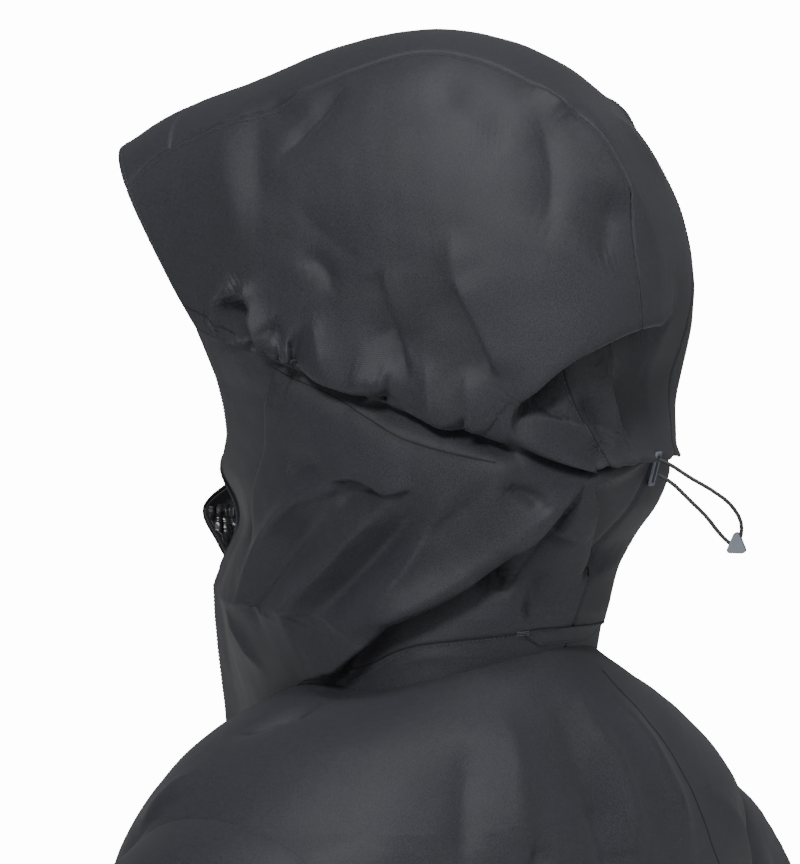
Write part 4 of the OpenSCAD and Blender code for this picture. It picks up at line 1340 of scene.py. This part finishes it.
def crumpled(side):
    """Small crumples over the way the neck is drawn in."""
    def height(q, v):
        p = neck(q, v, side)
        return 1.3 * ripple(p, 0.0045, 4) + 0.7 * ripple(p, 0.002, 5) + NECK_DRAW[side](q, v)
    return height


for side, label in SIDES:
    z = np.arange(ZIP_LOW + 0.002, ZIP_TOP - 0.001, TOOTH_PITCH) + (TOOTH_PITCH / 2 if side < 0 else 0)
    apart = np.where(z > SPREAD_FROM, 0.0009, 0.0)
    one = np.ones_like(z)
    centres = zip_plane(side * (0.0033 + apart), z) + np.array((0, 0.0011, 0))
    across = np.stack([-side * one, 0 * one, 0 * one], -1)
    along = np.stack([0 * one, -LEAN * one, one], -1)
    out = np.stack([0 * one, one, LEAN * one], -1)
    teeth(f"zip_teeth_{label}", centres, across, along, out)
    tape_skin = Skin(zip_strip(side * 0.0030, side * 0.0092), body_middle, uneven=0)
    o = cloth(f"zip_tape_{label}_cloth", tape_skin, plain_spread, ZIP_LENGTH, 0.0092, 0.0025, "jacket",
              NO_ROLL, thick=0.6, material=seam_shade_and_tape_mat, lift=-3.25 * MM, held=None)
    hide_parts(f"zip_tape_{label}")
    # pocket zip: two laminated lips over a coil, sewn along both sides
    lip = side * LIP_WIDE
    middle = POCKET_A if side > 0 else 540 - POCKET_A
    for name, away in (("inner", -1.0), ("outer", 1.0)):
        o = cloth(f"pocket_lip_{name}_{label}", body_skin, lip_spread(middle, 0.06 * away * lip, away * lip),
                  0.16, 0.006, 0.0012, "jacket", (1, 0, 1, 1), thick=0.6, material=zip_mat, lift=1.9 * MM,
                  dip=0.5, held=None)
        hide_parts(f"pocket_zip_{label}")
        edge = [(middle + 1.15 * away * lip, t) for t in (0.122, 0.368)]
        sewn(f"pocket_stitch_{name}_{label}", body_skin, edge, "jacket", count=120)
    edge = [(middle, LIP_LOW), (middle, LIP_LOW + LIP_LONG)]
    sewn(f"pocket_coil_{label}", body_skin, edge, "jacket", 0.9, 160, pitch=1.5, size=1.1, radius=0.9,
         material=coil_mat)
    # open end of the main zip, inside the collar edge
    crumple = Skin(neck_on(side), body_middle, crumpled(side), uneven=0)
    o = cloth(f"chin_zip_{label}_film", crumple, lambda u, v: (0.004 + 0.076 * u, 0.34 + 0.20 * v), 0.058,
              0.04, 0.001, None, NO_ROLL, thick=0.7, material=zip_mat, lift=-4.2 * MM, held="gathered")
    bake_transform(o)
    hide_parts(f"chin_zip_{label}")
    edge = [(0.004, 0.33), (0.003, 0.42), (0.003, 0.52)]
    sewn(f"chin_coil_{label}", neck_skin[side], edge, NECK, -1.6, 120, pitch=1.5, size=1.1, radius=0.9,
         material=coil_mat)

# ---------- cuff straps ----------
for side, label in SIDES:
    skin, body = sleeve_skin[side], f"{label}_cuff_tab"
    o = cloth(f"cuff_strap_{label}", skin, lambda u, v: (35 + 70 * u, 0.945 + 0.04 * v), 0.022, 0.06, 0.002,
              body, ALL_ROLLED, thick=1.4, material=rubber_mat, lift=2.9 * MM, dip=0.7, held=None)
    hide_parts(f"cuff_tab_{label}")
    for k, b in enumerate((44, 48, 52, 56, 60)):
        sewn(f"strap_rib_{k}_{label}", skin, [(b, 0.951), (b, 0.979)], body, 3.1, 40, pitch=1.2, size=1.4,
             radius=0.45, material=rubber_mat)
    sewn(f"strap_stitch_{label}", skin, [(101, 0.950), (101, 0.980)], body, 3.1, 40)

# ---------- CAD nodes that stay, with their finishes ----------
FINISHES = {
    plastic_mat: ["zip_box", "adjuster_lock"],
    metal_mat: ["zip_slider", "zip_pull", "pocket_slider_left", "pocket_slider_right"],
    grey_mat: ["adjuster_binding", "adjuster_button", "cord_end"],
}
for material, names in FINISHES.items():
    for name in names:
        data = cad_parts[name].data
        data.materials.clear()
        data.materials.append(material)

# ---------- floor and light ----------
FLOOR_RADIUS, FLOOR_CORNERS = 2.8, 96
SKY_STRENGTH, BACKDROP_STRENGTH = 0.17, 14.0
floor_z = cad_box[0][2] - 0.002
turn = np.linspace(0, 2 * math.pi, FLOOR_CORNERS + 1)[:-1]
outline = np.stack([FLOOR_RADIUS * np.cos(turn), FLOOR_RADIUS * np.sin(turn), 0 * turn + floor_z], -1)
floor_mat = new_material("floor_paint", (0.88, 0.88, 0.88), 0.9)[0]
floor = mesh_object("floor", outline, [tuple(range(FLOOR_CORNERS))], floor_mat)
world = bpy.data.worlds.new("studio")
bpy.context.scene.world = world
world.use_nodes = True
sky = world.node_tree
sky.nodes["Background"].inputs["Color"].default_value = (0.97, 0.98, 1.0, 1)
sky.nodes["Background"].inputs["Strength"].default_value = SKY_STRENGTH
backdrop = node(sky, "ShaderNodeBackground", Color=(1, 1, 1, 1), Strength=BACKDROP_STRENGTH)
seen = node(sky, "ShaderNodeLightPath").outputs["Is Camera Ray"]
choice = node(sky, "ShaderNodeMixShader")
sky.links.new(seen, choice.inputs[0])
sky.links.new(sky.nodes["Background"].outputs[0], choice.inputs[1])
sky.links.new(backdrop.outputs[0], choice.inputs[2])
sky.links.new(choice.outputs[0], sky.nodes["World Output"].inputs["Surface"])


def softbox(name, right, up, back, power, size):
    """A square light at a place given in the camera's own directions, aimed at the hood."""
    data = bpy.data.lights.new(name, "AREA")
    data.energy = power
    data.size = size
    o = bpy.data.objects.new(name, data)
    bpy.context.scene.collection.objects.link(o)
    target = Vector((0, 0, 0.15))
    o.location = target + CAM_RIGHT * right + CAM_UP * up + CAM_BACK * back
    o.rotation_euler = (o.location - target).to_track_quat("Z", "Y").to_euler()


softbox("key_light", right=-1.4, up=2.4, back=4.0, power=132, size=1.0)
softbox("top_light", right=0.6, up=3.6, back=1.7, power=90, size=1.1)
softbox("side_light", right=1.8, up=0.5, back=0.9, power=8, size=1.0)
softbox("front_light", right=-1.2, up=-0.1, back=2.0, power=7, size=1.4)
